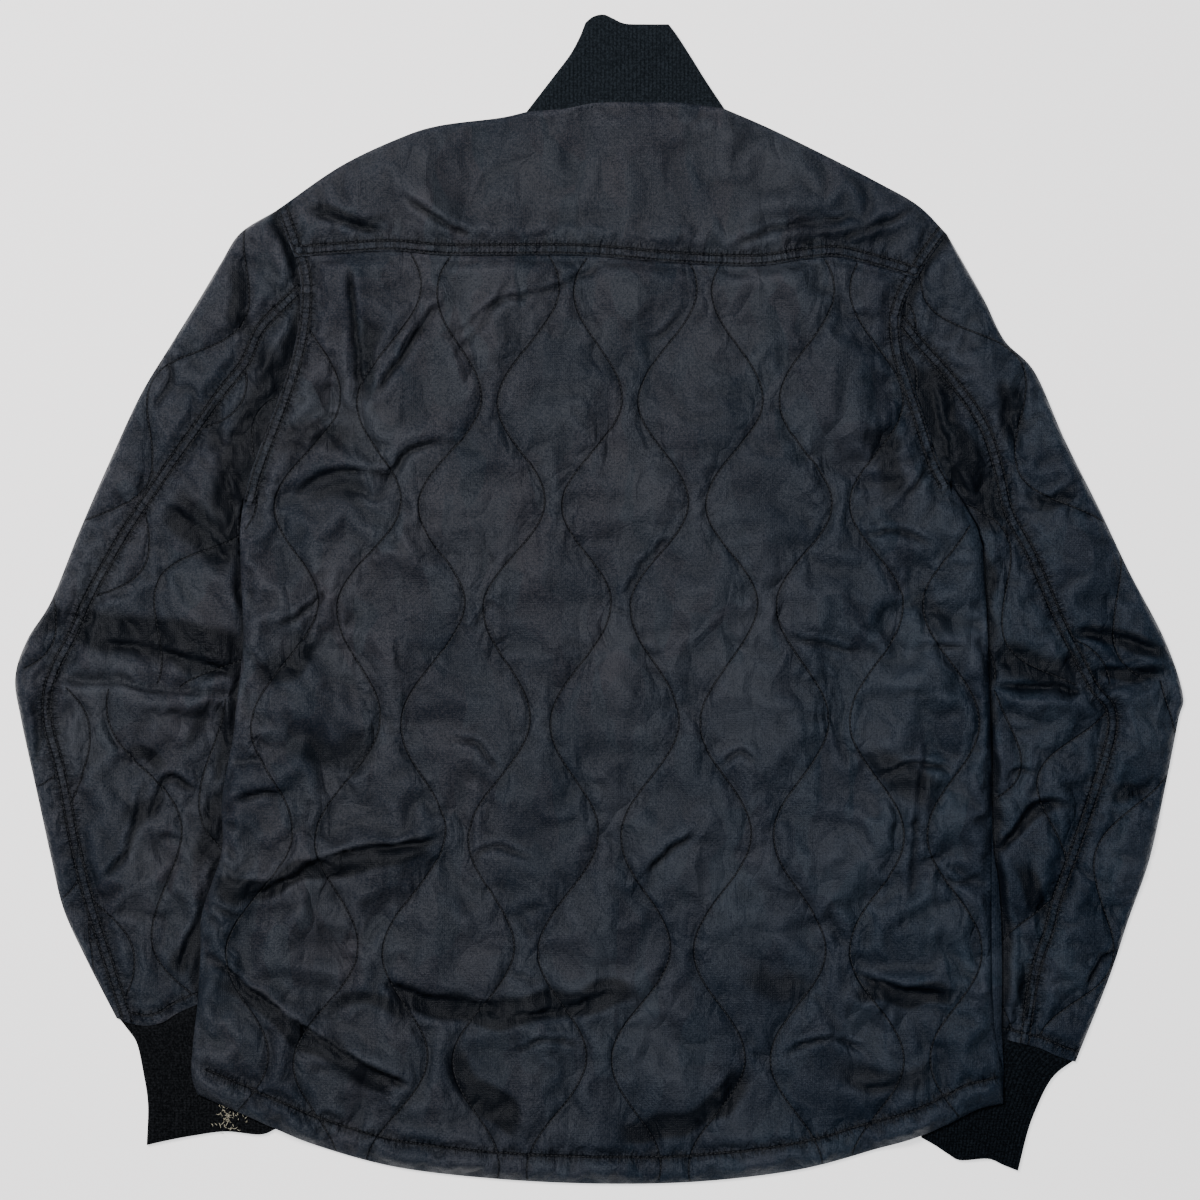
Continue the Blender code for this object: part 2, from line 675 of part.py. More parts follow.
def high_bottom(points):
    return HIGH_BOTTOM + TUCK_LIFT * ramp(points)


def level(points, height):
    return np.full(len(points), height)


def taper(points, edge_names, over, start=0.0):
    """0 at the edges, or within start of them, rising to 1."""
    share = np.ones(len(points))
    for name in edge_names:
        share = np.minimum(share, smooth((distance(points, EDGES[name]) - start) / over))
    return share


def band_rise(points, edge_names, width, rise):
    """A stitched band: cloth stands up at the edge and comes down to the line of stitches."""
    added = np.zeros(len(points))
    for name in edge_names:
        added = np.maximum(added, rise * np.clip(1 - distance(points, EDGES[name]) / width, 0, 1))
    return added


def rounding(points, edge_names, radius):
    """0 at a folded edge, rising like a quarter circle to 1."""
    share = np.ones(len(points))
    for name in edge_names:
        near = np.clip(distance(points, EDGES[name]) / radius, 0, 1)
        share = np.minimum(share, np.sqrt(1 - (1 - near) ** 2))
    return share


def quilt_axes(quilt):
    along = np.array(quilt.direction) / np.linalg.norm(quilt.direction)
    across = quilt.hand * np.array([along[1], -along[0]])
    return along, across


def quilt_line(quilt, number, along):
    """Where line number lies across, at each place along."""
    turn = np.interp(along, quilt.rows, np.arange(len(quilt.rows)))
    wave = quilt.wave * np.cos(np.pi * turn) * (-1) ** number
    return quilt.centre + quilt.drift * along + number * (quilt.pitch + quilt.fan * along) + wave


def quilt_puff(quilt, points):
    """Height of the padding between the quilting lines, as a share of the fullest."""
    axes = quilt_axes(quilt)
    along, across = [(points / MM - quilt.origin) @ axis for axis in axes]
    puff = np.zeros(len(points))
    for number in range(-LINES, LINES):
        low = quilt_line(quilt, number, along)
        wide = quilt_line(quilt, number + 1, along) - low
        share = np.clip((across - low) / wide, 0, 1)
        full = np.clip(wide * MM / QUILT_BELLY, 0, 1) ** 0.9
        puff = np.maximum(puff, full * (4 * share * (1 - share)) ** 0.8)
    return puff


def quilt_points(quilt, share, step=14):
    """Rows of points at this share of the way across each channel between two lines."""
    along = np.arange(quilt.rows[0], quilt.rows[-1], step) + (step / 2 if share else 0)
    along_axis, across_axis = quilt_axes(quilt)
    rows = []
    for number in range(-LINES, LINES):
        low = quilt_line(quilt, number, along)
        across = low + share * (quilt_line(quilt, number + 1, along) - low)
        rows.append((quilt.origin + np.outer(along, along_axis) + np.outer(across, across_axis)) * MM)
    return rows


def fold_rise(piece, points):
    """Height that the loose folds add."""
    rise = np.zeros(len(points))
    for fold in FOLDS:
        if fold.piece == piece:
            path = curve(fold.path)
            side = smooth(1 - distance(points, path) / (fold.width * MM / 2))
            ends = np.linalg.norm(points[:, None] - path[[0, -1]], axis=2).min(axis=1)
            rise = np.maximum(rise, fold.rise * MM * side * smooth(0.35 + ends / (22 * MM)))
    return rise


def fold_lines(piece):
    """The crest and both feet of each loose fold, as creases of the net."""
    lines = []
    for fold in FOLDS:
        if fold.piece == piece:
            path = curve(fold.path, 11 * MM)
            for side in (0, 0.5, -0.5):
                lines.append((offset(path, side * fold.width * MM), EDGE_CLEAR))
    return lines


# ---- Pieces ----
def material(name):
    if name in bpy.data.materials:
        return bpy.data.materials[name]
    colour, roughness, sheen = FINISHES[name]
    made = bpy.data.materials.new(name)
    made.use_nodes = True
    shader = made.node_tree.nodes["Principled BSDF"]
    shader.inputs["Base Color"].default_value = colour
    shader.inputs["Roughness"].default_value = roughness
    shader.inputs["Metallic"].default_value = 0.0
    shader.inputs["Sheen Weight"].default_value = sheen
    return made


def make_back_body():
    outline = Outline("back_body")
    armholes = [f"armhole_{side}_{part}" for side in SIDES for part in ("mid", "low")]
    sides = [f"side_{side}_{part}" for side in SIDES for part in ("top", "low")]

    def height(points):
        hem = distance(points, EDGES["hem"])
        pinched = 0.25 + 0.75 * smooth(np.abs(hem - HEM_BAND) / (9 * MM))
        padding = pinched * smooth(hem / (8 * MM)) * taper(points, armholes, 10 * MM, SEAM_BAND)
        padding *= taper(points, [*sides, "yoke_seam"], 12 * MM)
        roll = HEM_ROLL * np.sin(np.pi * np.clip(hem / HEM_BAND, 0, 1))
        folds = fold_rise("back_body", points) * taper(points, sides, 12 * MM)
        seams = band_rise(points, armholes, SEAM_BAND, BAND_RISE)
        puff = PUFF * quilt_puff(QUILTS["back"], points) * padding
        return HIGH_TOP + TUCK_LIFT * ramp(points) + puff + roll + folds + seams

    lines = [(outline.line_inside("hem", share * HEM_BAND), 2 * MM) for share in (0.5, 1)]
    lines += [(outline.line_inside(name, SEAM_BAND), 2 * MM) for name in armholes]
    lines += fold_lines("back_body")
    loose = []
    for share in (0, *PUFF_SHARES):
        for row in quilt_points(QUILTS["back"], share):
            row = row[distance(row, EDGES["hem"]) > HEM_BAND + EDGE_CLEAR]
            if share:
                loose.extend(row)
            elif len(row):
                lines.append((row, EDGE_CLEAR))
    outer = net(outline.outer, outline.rows, np.array(loose), lines)
    inner = plain_net(outline.inner, outline.inner_rows, on_ramp)
    cloth = Cloth("back_body", "nylon")
    cloth.add_sheet(outer, height(outer.points), inner, high_bottom(inner.points))
    cloth.build()


def make_back_yoke():
    outline = Outline("back_yoke")
    seams = ["armhole_left_top", "armhole_right_top", "yoke_seam"]

    def height(points):
        padding = taper(points, seams, 10 * MM, SEAM_BAND)
        padding *= taper(points, ["shoulder_left", "shoulder_right", "neck"], 16 * MM)
        folds = fold_rise("back_yoke", points)
        return HIGH_TOP + (YOKE_PUFF + folds) * padding + band_rise(points, seams, SEAM_BAND, BAND_RISE)

    lines = [(outline.line_inside(name, SEAM_BAND), 2 * MM) for name in seams]
    lines += fold_lines("back_yoke")
    outer = net(outline.outer, outline.rows, lattice(outline.outer, 17 * MM), lines)
    inner = plain_net(outline.inner, outline.inner_rows)
    cloth = Cloth("back_yoke", "nylon")
    cloth.add_sheet(outer, height(outer.points), inner, level(inner.points, HIGH_BOTTOM))
    cloth.build()


def make_front(side):
    outline = Outline(f"front_{side}")
    under = plain_net(outline.outer, outline.rows, on_ramp)
    upper = plain_net(outline.inner, outline.inner_rows, on_ramp)
    cloth = Cloth(f"front_{side}", "nylon")
    cloth.add_sheet(under, low_bottom(under.points), upper, low_top(upper.points))
    cloth.build()


def below_elbow(points, side):
    """How far each point lies below the elbow's crease, in metres: positive on the forearm."""
    crease = np.array(ELBOW_MM[side], float) * MM
    return np.interp(points[:, 0], crease[:, 0], crease[:, 1]) - points[:, 1]


def sleeve_quilts(side, part):
    """The quilting above and below the elbow."""
    return [QUILTS.get(f"{part}_{side}_{at}") or QUILTS[f"{part}_{side}"] for at in ("arm", "fore")]


def make_sleeve_panel(side, part):
    """part is outer, round the sleeve's outer edge, or inner, round the edge beside the body."""
    name = f"sleeve_{part}_{side}"
    folded = FOLDED[name]
    top = Outline(f"{name}_top", folded)
    under = Outline(f"{name}_under", folded, like=top)
    seam = f"sleeve_{side}_seam"
    armholes = [f"armhole_{side}_{at}" for at in ("top", "mid", "low")]
    ends = [f"sleeve_{side}_end_{letter}" for letter in "abc"]
    quilts = sleeve_quilts(side, part)

    def height(points):
        below = below_elbow(points, side)
        bent = smooth(np.abs(below) / (12 * MM))
        puff = np.where(below > 0, quilt_puff(quilts[1], points), quilt_puff(quilts[0], points)) * bent
        puff *= taper(points, [seam], 10 * MM, SEAM_BAND / 2) * taper(points, armholes, 12 * MM)
        puff *= taper(points, ends, 8 * MM, END_BAND)
        lip = np.clip(below / CREASE_STEP, 0, 1) * (1 - smooth(below / CREASE_RUN))
        lip *= smooth((distance(points, EDGES[f"sleeve_{side}_outer"]) - 6 * MM) / (40 * MM))
        relief = SLEEVE_PUFF * puff + CREASE_LIP * lip
        relief += band_rise(points, [seam], SEAM_BAND / 2, BAND_RISE)
        relief += band_rise(points, ends, END_BAND, END_RISE)
        relief *= smooth(gap_to(points, BODY) / TUCK_FADE)
        above_fold = HIGH_TOP - FOLD_HEIGHT + relief
        return FOLD_HEIGHT + above_fold * rounding(points, folded, EDGE_ROUND)

    crease = curve(ELBOW_MM[side])
    lines = [(EDGES[BODY_SIDES[side]], 1 * MM)]
    lines += [(crease, EDGE_CLEAR), (crease - [0, CREASE_STEP], EDGE_CLEAR)]
    lines += [(top.line_inside(seam, SEAM_BAND / 2), 1.5 * MM)]
    lines += [(top.line_inside(name, 3.5 * MM), 2 * MM) for name in folded]
    loose = []
    for quilt, sign in zip(quilts, (-1, 1)):
        for share in (0, *PUFF_SHARES):
            for row in quilt_points(quilt, share):
                row = row[sign * below_elbow(row, side) > 5 * MM]
                if share:
                    loose.extend(row)
                elif len(row):
                    lines.append((row, EDGE_CLEAR))
    outer = net(top.outer, top.rows, np.array(loose), lines)
    inner = plain_net(top.inner, top.inner_rows)
    cloth = Cloth(name, "nylon", folded)
    cloth.add_sheet(outer, height(outer.points), inner, level(inner.points, HIGH_BOTTOM))
    add_underside(cloth, under)
    cloth.build()


def add_underside(cloth, outline):
    """The sheet that rests on the table, rounded at its folded edges."""
    folded = [name for name in cloth.folded if name in outline.rows]
    lines = [(outline.line_inside(name, FLAT_ROUND), 0.6 * FLAT_ROUND) for name in folded]
    outer = plain_net(outline.outer, outline.rows, lines=lines)
    inner = plain_net(outline.inner, outline.inner_rows)
    heights = FOLD_HEIGHT * (1 - rounding(outer.points, folded, FLAT_ROUND))
    cloth.add_sheet(outer, heights, inner, level(inner.points, LOW_WALL))


def rib_heights(columns, wall, folded):
    """Every other column is a ridge."""
    heights = []
    for number, column in enumerate(columns):
        crown = HIGH_BOTTOM + wall - (0 if number % 2 else RIB_RISE)
        heights.append(FOLD_HEIGHT + (crown - FOLD_HEIGHT) * rounding(column, folded, EDGE_ROUND))
    return np.concatenate(heights)


def make_cuff(side):
    """A tube pressed flat. Its ribs run from the sleeve to its own edge."""
    names = {part: f"cuff_{side}_{part}" for part in ("top", "hem", "outer", "inner")}
    folded = FOLDED[f"cuff_{side}"]
    ribs = {names["top"]: 2 * CUFF_RIBS, names["hem"]: 2 * CUFF_RIBS}
    outline = Outline(f"cuff_{side}", folded, parts=ribs)
    starts, ends, first, last = [outline.along(name) for name in names.values()]
    down = np.linspace(0, 1, CUFF_ROWS + 1)[:, None]
    first_bow = first - (first[0] + down * (first[-1] - first[0]))
    last_bow = last - (last[0] + down * (last[-1] - last[0]))
    columns = []
    for over, start, end in zip(np.linspace(0, 1, len(starts)), starts, ends):
        columns.append(start + down * (end - start) + (1 - over) * first_bow + over * last_bow)
    columns[0] = first
    columns[-1] = last
    ids = np.arange(len(columns) * len(first)).reshape(len(columns), -1)
    rows = {
        names["top"]: outline.turned(names["top"], ids[:, 0]),
        names["hem"]: outline.turned(names["hem"], ids[:, -1]),
        names["outer"]: ids[0],
        names["inner"]: ids[-1],
    }
    outer = column_net(columns, rows)
    inner = plain_net(outline.inner, outline.inner_rows)
    cloth = Cloth(f"cuff_{side}", "rib_knit", folded)
    heights = rib_heights(columns, CUFF_WALL, folded)
    cloth.add_sheet(outer, heights, inner, level(inner.points, HIGH_BOTTOM))
    add_underside(cloth, Outline(f"cuff_{side}", folded, like=outline))
    cloth.build()


def make_collar():
    """A band round the neck. Its upright ribs are cut off by the folds at its sides, and its
    ends lie under it, parted at the centre front.
    """
    folded = FOLDED["collar"]
    back = Outline("collar_back", folded, parts={"neck": 2 * sum(COLLAR_RIBS.values())})
    feet = back.along("neck")[::-1]
    sides = [back.along("collar_left"), back.along("collar_right")[::-1]]
    crowns = np.vstack([sides[0][:-1], back.along("collar_top"), sides[1][1:]])
    columns = [crowns[:1]]
    for foot, crown in zip(feet[1:-1], crowns[1:-1]):
        heights = [rise for rise in COLLAR_ROWS if foot[1] + rise < crown[1] - EDGE_ROUND]
        column = [foot, *[foot + [0, rise] for rise in heights]]
        if crown[1] - foot[1] > EDGE_ROUND:
            column.append(crown - [0, EDGE_ROUND / 2])
        columns.append(np.array([*column, crown]))
    columns.append(crowns[-1:])
    counts = np.array([len(column) for column in columns])
    tips = np.cumsum(counts) - 1
    left, right = len(sides[0]), len(sides[1])
    rows = {
        "neck": tips + 1 - counts,
        "collar_left": tips[:left][::-1],
        "collar_top": tips[left - 1 : len(tips) - right + 1][::-1],
        "collar_right": tips[len(tips) - right :][::-1],
    }
    outer = column_net(columns, rows)
    inner = plain_net(back.inner, back.inner_rows)
    cloth = Cloth("collar", "rib_knit", folded)
    heights = rib_heights(columns, COLLAR_WALL, folded)
    cloth.add_sheet(outer, heights, inner, level(inner.points, HIGH_BOTTOM))
    for side in SIDES:
        add_underside(cloth, Outline(f"collar_front_{side}", folded, like=back))
    cloth.build()


def centre_on_origin():
    """Moves everything so that the origin is below the middle of the laid-out jacket."""
    meshes = [made.data for made in bpy.data.objects]
    points = np.array([vertex.co[:2] for mesh in meshes for vertex in mesh.vertices])
    middle = (points.min(axis=0) + points.max(axis=0)) / 2
    for mesh in meshes:
        mesh.transform(Matrix.Translation((-middle[0], -middle[1], 0)))


def main():
    for leftover in list(bpy.data.objects):
        bpy.data.objects.remove(leftover)
    make_back_body()
    make_back_yoke()
    make_collar()
    for side in SIDES:
        make_front(side)
        make_sleeve_panel(side, "outer")
        make_sleeve_panel(side, "inner")
        make_cuff(side)
    centre_on_origin()


main()
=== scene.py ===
"""Dresses the laid-out quilted liner jacket: padded nylon, rib knit, stitches and their creases.

Each piece is a fine skin over the plan outline of the CAD node that it replaces, on that node's
form. The plan tables are those of the CAD source, in millimetres; everything else is in metres.
"""

import math
from collections import namedtuple
from random import Random

import bpy
import numpy as np
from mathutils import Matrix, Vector, kdtree, noise
from mathutils.bvhtree import BVHTree
from mathutils.geometry import delaunay_2d_cdt


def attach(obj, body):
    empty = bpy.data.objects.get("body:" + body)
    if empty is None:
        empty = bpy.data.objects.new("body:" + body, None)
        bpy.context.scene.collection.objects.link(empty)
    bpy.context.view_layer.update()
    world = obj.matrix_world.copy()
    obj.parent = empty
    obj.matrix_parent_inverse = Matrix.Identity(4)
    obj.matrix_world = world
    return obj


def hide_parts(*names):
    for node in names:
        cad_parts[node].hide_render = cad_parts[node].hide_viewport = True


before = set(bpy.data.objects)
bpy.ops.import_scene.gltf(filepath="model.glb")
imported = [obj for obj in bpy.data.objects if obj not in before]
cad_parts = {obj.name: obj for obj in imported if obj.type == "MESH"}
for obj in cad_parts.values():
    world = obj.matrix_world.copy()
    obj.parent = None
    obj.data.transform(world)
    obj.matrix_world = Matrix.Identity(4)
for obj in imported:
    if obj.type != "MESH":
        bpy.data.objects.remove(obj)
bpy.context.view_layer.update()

MM = 0.001

# ---- Sizes of the CAD form, metres ----
CAD_SHIFT = np.array([0.03, 0.17]) * MM  # the CAD is centred on the origin by this much
LOW_WALL = 2.4 * MM
LAYER_GAP = 0.3 * MM
HIGH_WALL = 1.6 * MM
HIGH_BOTTOM = LOW_WALL + LAYER_GAP
HIGH_TOP = HIGH_BOTTOM + HIGH_WALL
FOLD_HEIGHT = LOW_WALL + LAYER_GAP / 2  # where a sleeve's two sides meet at its folded edges
COLLAR_WALL = 2.3 * MM
RIM = 0.5 * MM  # the upright part of a free edge
EDGE_ROUND = 8 * MM  # radius of a free edge
YOKE_ROUND = 9 * MM
FLAT_ROUND = 3 * MM  # and of an edge's lower side
TUCK_LIFT = HIGH_TOP + LAYER_GAP  # the body rises this much over the forearms under it
TUCK_RAMP = 26 * MM  # over a ramp this wide
TUCK_MARGIN = 8 * MM  # which starts this far beside a forearm
RAMP_SLACK = 0.7 * MM  # a front hangs this far below a straight ramp
FRONT_ROUND_UP = 1.9 * MM  # a front's free edges stand up this far off the table
TUCK_FADE = 6 * MM  # a sleeve's relief fades out this near the body that covers it
SEAM_BAND = 8 * MM  # the padding stays this far from a seam's edge
SEAM_HALF = 4.2 * MM  # a double seam reaches this far each way from its middle
ROW_SPREAD = 2.8 * MM  # each of its rows of stitches lies this far from its middle
HEM_BAND = 18 * MM  # the hem that is turned up, and how far it rises between edge and stitches
HEM_ROLL = 1.8 * MM
END_BAND = 7 * MM  # a sleeve's turned end beside its cuff
END_RISE = 0.5 * MM
CREASE_LIP = 4.2 * MM  # the elbow's fold: its height, its steep side and its long side
CREASE_STEP = 2.5 * MM
CREASE_RUN = 22 * MM
QUILT_BELLY = 80 * MM  # a quilted cell this wide is padded fully
YOKE_PUFF = 2.2 * MM
YOKE_STEP = 0.7 * MM  # from the yoke down to the back at their seam
CUFF_RIBS = 32
CUFF_WIDTH = 105 * MM
COLLAR_RIBS = 50

# ---- Sizes of the dress, metres ----
SIDES = ("left", "right")
GRID = 2.4 * MM  # spacing of the points on a visible skin
SLEEVE_GRID = 2.2 * MM
LOW_GRID = 5 * MM  # on a quilted side that rests on the table
COLLAR_GRID = 6 * MM  # on the collar's lower halves
COARSE = 12 * MM  # and on a plain hidden side
RUN_JUMP = 9 * MM  # a face that spans more of a seam than this lies between two seams
VISUAL_PUFF = 3.6 * MM  # height of the fullest quilted cell
SLACK_RISE = 0.8 * MM  # all slack cloth stands up by this much
MOST_PINCHED = -1.0 * MM  # lowest that the relief may go
HOLLOW_DEPTH = 1.6 * MM
GROOVE_DEPTH = 0.9 * MM  # of the quilting on a side that rests on the table
GROOVE_WIDTH = 2.5 * MM
GROOVE_DEEPEST = 1.2 * MM  # with its puckers
STITCH_PITCH = 3.0 * MM
THREAD_WIDTH = 0.7 * MM
RIB_POINTS = 8  # points across each rib
CUFF_ROWS = 42  # points along each rib
CUFF_EDGE = 0.05  # the last share of a cuff's length, which thins toward its edge
COLLAR_ROWS = 26
RIB_DEPTH = 0.9 * MM
TUCK_IN = 3 * MM  # how far the ribs run on under the seam that holds them
LINES = 12  # quilting lines each way from the first
SHORT = 4  # a stretch of a line with no more points than this is left out
SPLINE_STEPS = 24  # between two points of the plan
RUN_BREAK = 100 * MM  # between the runs along two paths
OUTSIDE = 450 * MM  # further from the middle than anything of the jacket
NOISE_GAIN = 1.6

# The cloth simulation, in which everything is CLOTH_SCALE times as large
CLOTH_SCALE = 20
CLOTH_FRAMES = 18
CLOTH_SHIFT = 2.5 * MM  # furthest that a point may move aside
CLOTH_RISE = 3.5 * MM  # and up or down
STITCH_HOLD = 0.5  # how firmly the stitches are held in place, from 0 to 1
CLOTH_SETTINGS = {
    "quality": 5,
    "mass": 0.3,
    "tension_stiffness": 15,
    "compression_stiffness": 15,
    "shear_stiffness": 5,
    "bending_stiffness": 8,
    "air_damping": 2.0,
    "shrink_min": -0.02,  # the cloth is cut this much too big, so it buckles
    "use_pressure": True,
    "uniform_pressure_force": 0.08,
}

# Slack cloth, for each part of the jacket. The last number of each row starts its noise.
# Crumples, mm: height.
CRUMPLES = {"back_body": (1.8, 11.0), "back_yoke": (1.25, 17.0), "sleeve": (2.3, 31.0)}
# Facets, mm: size and height of the broad ones and of the small ones.
FACETS = {
    "back_body": ((26, 1.4, 51.0), (12, 0.6, 57.0)),
    "back_yoke": ((30, 0.8, 61.0), (14, 0.3, 67.0)),
    "sleeve": ((24, 1.3, 71.0), (12, 0.6, 77.0)),
}
# Puckers beside stitches, mm: size along the stitches, reach across them and height.
PUCKERS = {
    "back_quilting": (11, 10, 0.2, 2.0),
    "back_seams": (5, 8, 0.45, 4.0),
    "back_edges": (13, 26, 1.3, 13.0),
    "yoke_seams": (6, 14, 0.5, 5.0),
    "front_quilting": (12, 14, 0.25, 3.0),
    "sleeve_quilting": (11, 10, 0.2, 21.0),
    "sleeve_seams": (5, 10, 0.5, 25.0),
}

# ---- Plan tables, millimetres ----
# Edges shared by two pieces are listed once. Left is the wearer's left, at -X.
EDGES_MM = {
    "neck": ((83, 324), (69, 326), (55, 328), (37, 328), (0, 328), (-23, 324), (-48, 322)),
    "shoulder_left": ((-48, 322), (-66, 318), (-105, 313), (-131, 305), (-171, 286), (-213, 257)),
    "shoulder_right": ((230, 241), (211, 260), (185, 275), (152, 292), (113, 311), (83, 324)),
    "armhole_left_top": ((-213, 257), (-208, 243), (-201, 226)),
    "armhole_left_mid": ((-201, 226), (-198, 215), (-197, 205)),
    "armhole_left_low": (
        (-197, 205), (-198, 188), (-201, 169), (-208, 144), (-217, 119), (-229, 87), (-235, 65)
    ),
    "armhole_right_top": ((210, 212), (219, 226), (230, 241)),
    "armhole_right_mid": ((199, 185), (203, 198), (210, 212)),
    "armhole_right_low": ((232, 77), (224, 93), (215, 121), (207, 145), (201, 165), (199, 185)),
    "yoke_seam": (
        (210, 212), (175, 222), (155, 226), (133, 224), (102, 220), (49, 222), (-15, 227),
        (-98, 227), (-137, 230), (-172, 228), (-201, 226),
    ),
    "side_left_top": ((-235, 65), (-237, 47), (-237, 29)),
    "side_left_low": (
        (-237, 29), (-235, -27), (-239, -67), (-242, -93), (-249, -133), (-249, -166),
        (-262, -207), (-263, -232), (-265, -266), (-268, -293), (-269, -314), (-265, -327),
    ),
    "side_right_top": ((253, 36), (247, 53), (232, 77)),
    "side_right_low": (
        (267, -333), (266, -308), (261, -284), (259, -232), (259, -106), (258, -67), (256, -13),
        (253, 36),
    ),
    "side_right_front": (
        (267, -333), (267, -308), (266, -284), (266, -232), (264, -190), (260, -160), (259, -106),
        (258, -67), (256, -13), (253, 36),
    ),
    "hem": (
        (-265, -327), (-240, -338), (-213, -350), (-181, -363), (-131, -376), (-65, -383.5),
        (1, -386.5), (67, -385), (133, -377), (185, -363), (211, -355), (232, -346), (250, -337),
        (267, -333),
    ),
    "front_hem_left": ((-265, -327), (-240, -337), (-213, -346), (-131, -358), (0, -364)),
    "front_hem_right": ((0, -364), (133, -358), (211, -347), (250, -336), (267, -333)),
    "centre_front": ((0, -364), (3, -200), (8, 0), (13, 150), (16, 252)),
    "front_neck_left": ((16, 252), (-8, 257), (-30, 274), (-43, 298), (-48, 322)),
    "front_neck_right": ((83, 324), (77, 298), (63, 274), (40, 257), (16, 252)),
    "collar_end": ((16, 252), (17, 305)),
    "collar_left": ((-48, 322), (-28, 348), (-19, 360), (-13, 371), (-9, 381)),
    "collar_top": ((-9, 381), (-4, 385), (3, 386.5), (9, 384), (17, 380.5), (30, 380), (46, 380)),
    "collar_right": ((83, 324), (71, 342), (61, 358), (52, 372), (46, 380)),
    "collar_free_left": ((17, 305), (4, 318), (-5, 345), (-9, 381)),
    "collar_free_right": ((46, 380), (41, 345), (31, 318), (17, 305)),
    "sleeve_left_outer": (
        (-213, 257), (-237, 242), (-250, 222), (-265, 197), (-283, 168), (-303, 135), (-323, 92),
        (-343, 46), (-362, -1), (-378, -27), (-386, -52), (-382, -80), (-372, -126),
        (-362, -172), (-354, -205), (-339, -238), (-319, -277),
    ),
    "sleeve_left_seam": (
        (-197, 205), (-208, 195), (-224, 178), (-234, 156), (-249, 137), (-263, 117), (-290, 79),
        (-316, 39), (-336, 3), (-348, -24), (-358, -43), (-364, -61), (-364, -82), (-355, -117),
        (-346, -163), (-337, -199), (-324, -240), (-311, -280),
    ),
    "sleeve_left_front": (
        (-197, 205), (-228, 150), (-266, 80), (-300, 10), (-312, -60), (-300, -130), (-285, -200),
        (-266, -268),
    ),
    "sleeve_left_inner": (
        (-237, 29), (-230, 5), (-217, -30), (-208, -62), (-205, -105), (-204, -150), (-205, -200),
        (-209, -261),
    ),
    "sleeve_left_end_a": ((-319, -277), (-311, -280)),
    "sleeve_left_end_b": ((-311, -280), (-300, -282), (-289, -280), (-279, -274), (-266, -268)),
    "sleeve_left_end_c": ((-266, -268), (-236, -262), (-209, -261)),
    "sleeve_right_outer": (
        (230, 241), (242, 220), (255, 197), (268, 171), (288, 150), (308, 105), (331, 59),
        (350, 19), (374, -27), (386, -63), (383, -80), (374, -126), (364, -172), (350, -212),
        (337, -251), (315, -306),
    ),
    "sleeve_right_seam": (
        (199, 185), (212, 169), (234, 144), (254, 115), (264, 86), (271, 57), (286, 29),
        (303, -11), (319, -43), (329, -61), (338, -72), (339, -88), (333, -110), (325, -135),
        (314, -167), (303, -197), (297, -220), (288, -247), (281, -294),
    ),
    "sleeve_right_front": (
        (199, 185), (222, 140), (262, 80), (296, 10), (310, -60), (302, -130), (285, -200),
        (264, -290),
    ),
    "sleeve_right_inner": (
        (253, 36), (246, 10), (232, -25), (217, -58), (209, -100), (206, -150), (205, -200),
        (205, -274),
    ),
    "sleeve_right_end_a": ((315, -306), (303, -302), (292, -297), (281, -294)),
    "sleeve_right_end_b": ((281, -294), (264, -290)),
    "sleeve_right_end_c": ((264, -290), (236, -283), (205, -274)),
    "cuff_left_outer": (
        (-319, -277), (-311, -287), (-305, -296), (-301, -314), (-298, -335), (-299, -361)
    ),
    "cuff_left_hem": (
        (-299, -361), (-286, -358), (-270, -355), (-247, -352), (-224, -354), (-213, -350)
    ),
    "cuff_left_inner": ((-209, -261), (-215, -275), (-217, -300), (-215, -325), (-213, -350)),
    "cuff_right_outer": ((315, -306), (302, -315), (295, -324), (288, -339), (283, -353), (277, -378)),
    "cuff_right_hem": (
        (277, -378), (267, -374), (257, -370), (239, -371), (231, -367), (222, -361), (213, -356)
    ),
    "cuff_right_inner": ((205, -274), (210, -290), (213, -320), (213, -356)),
}

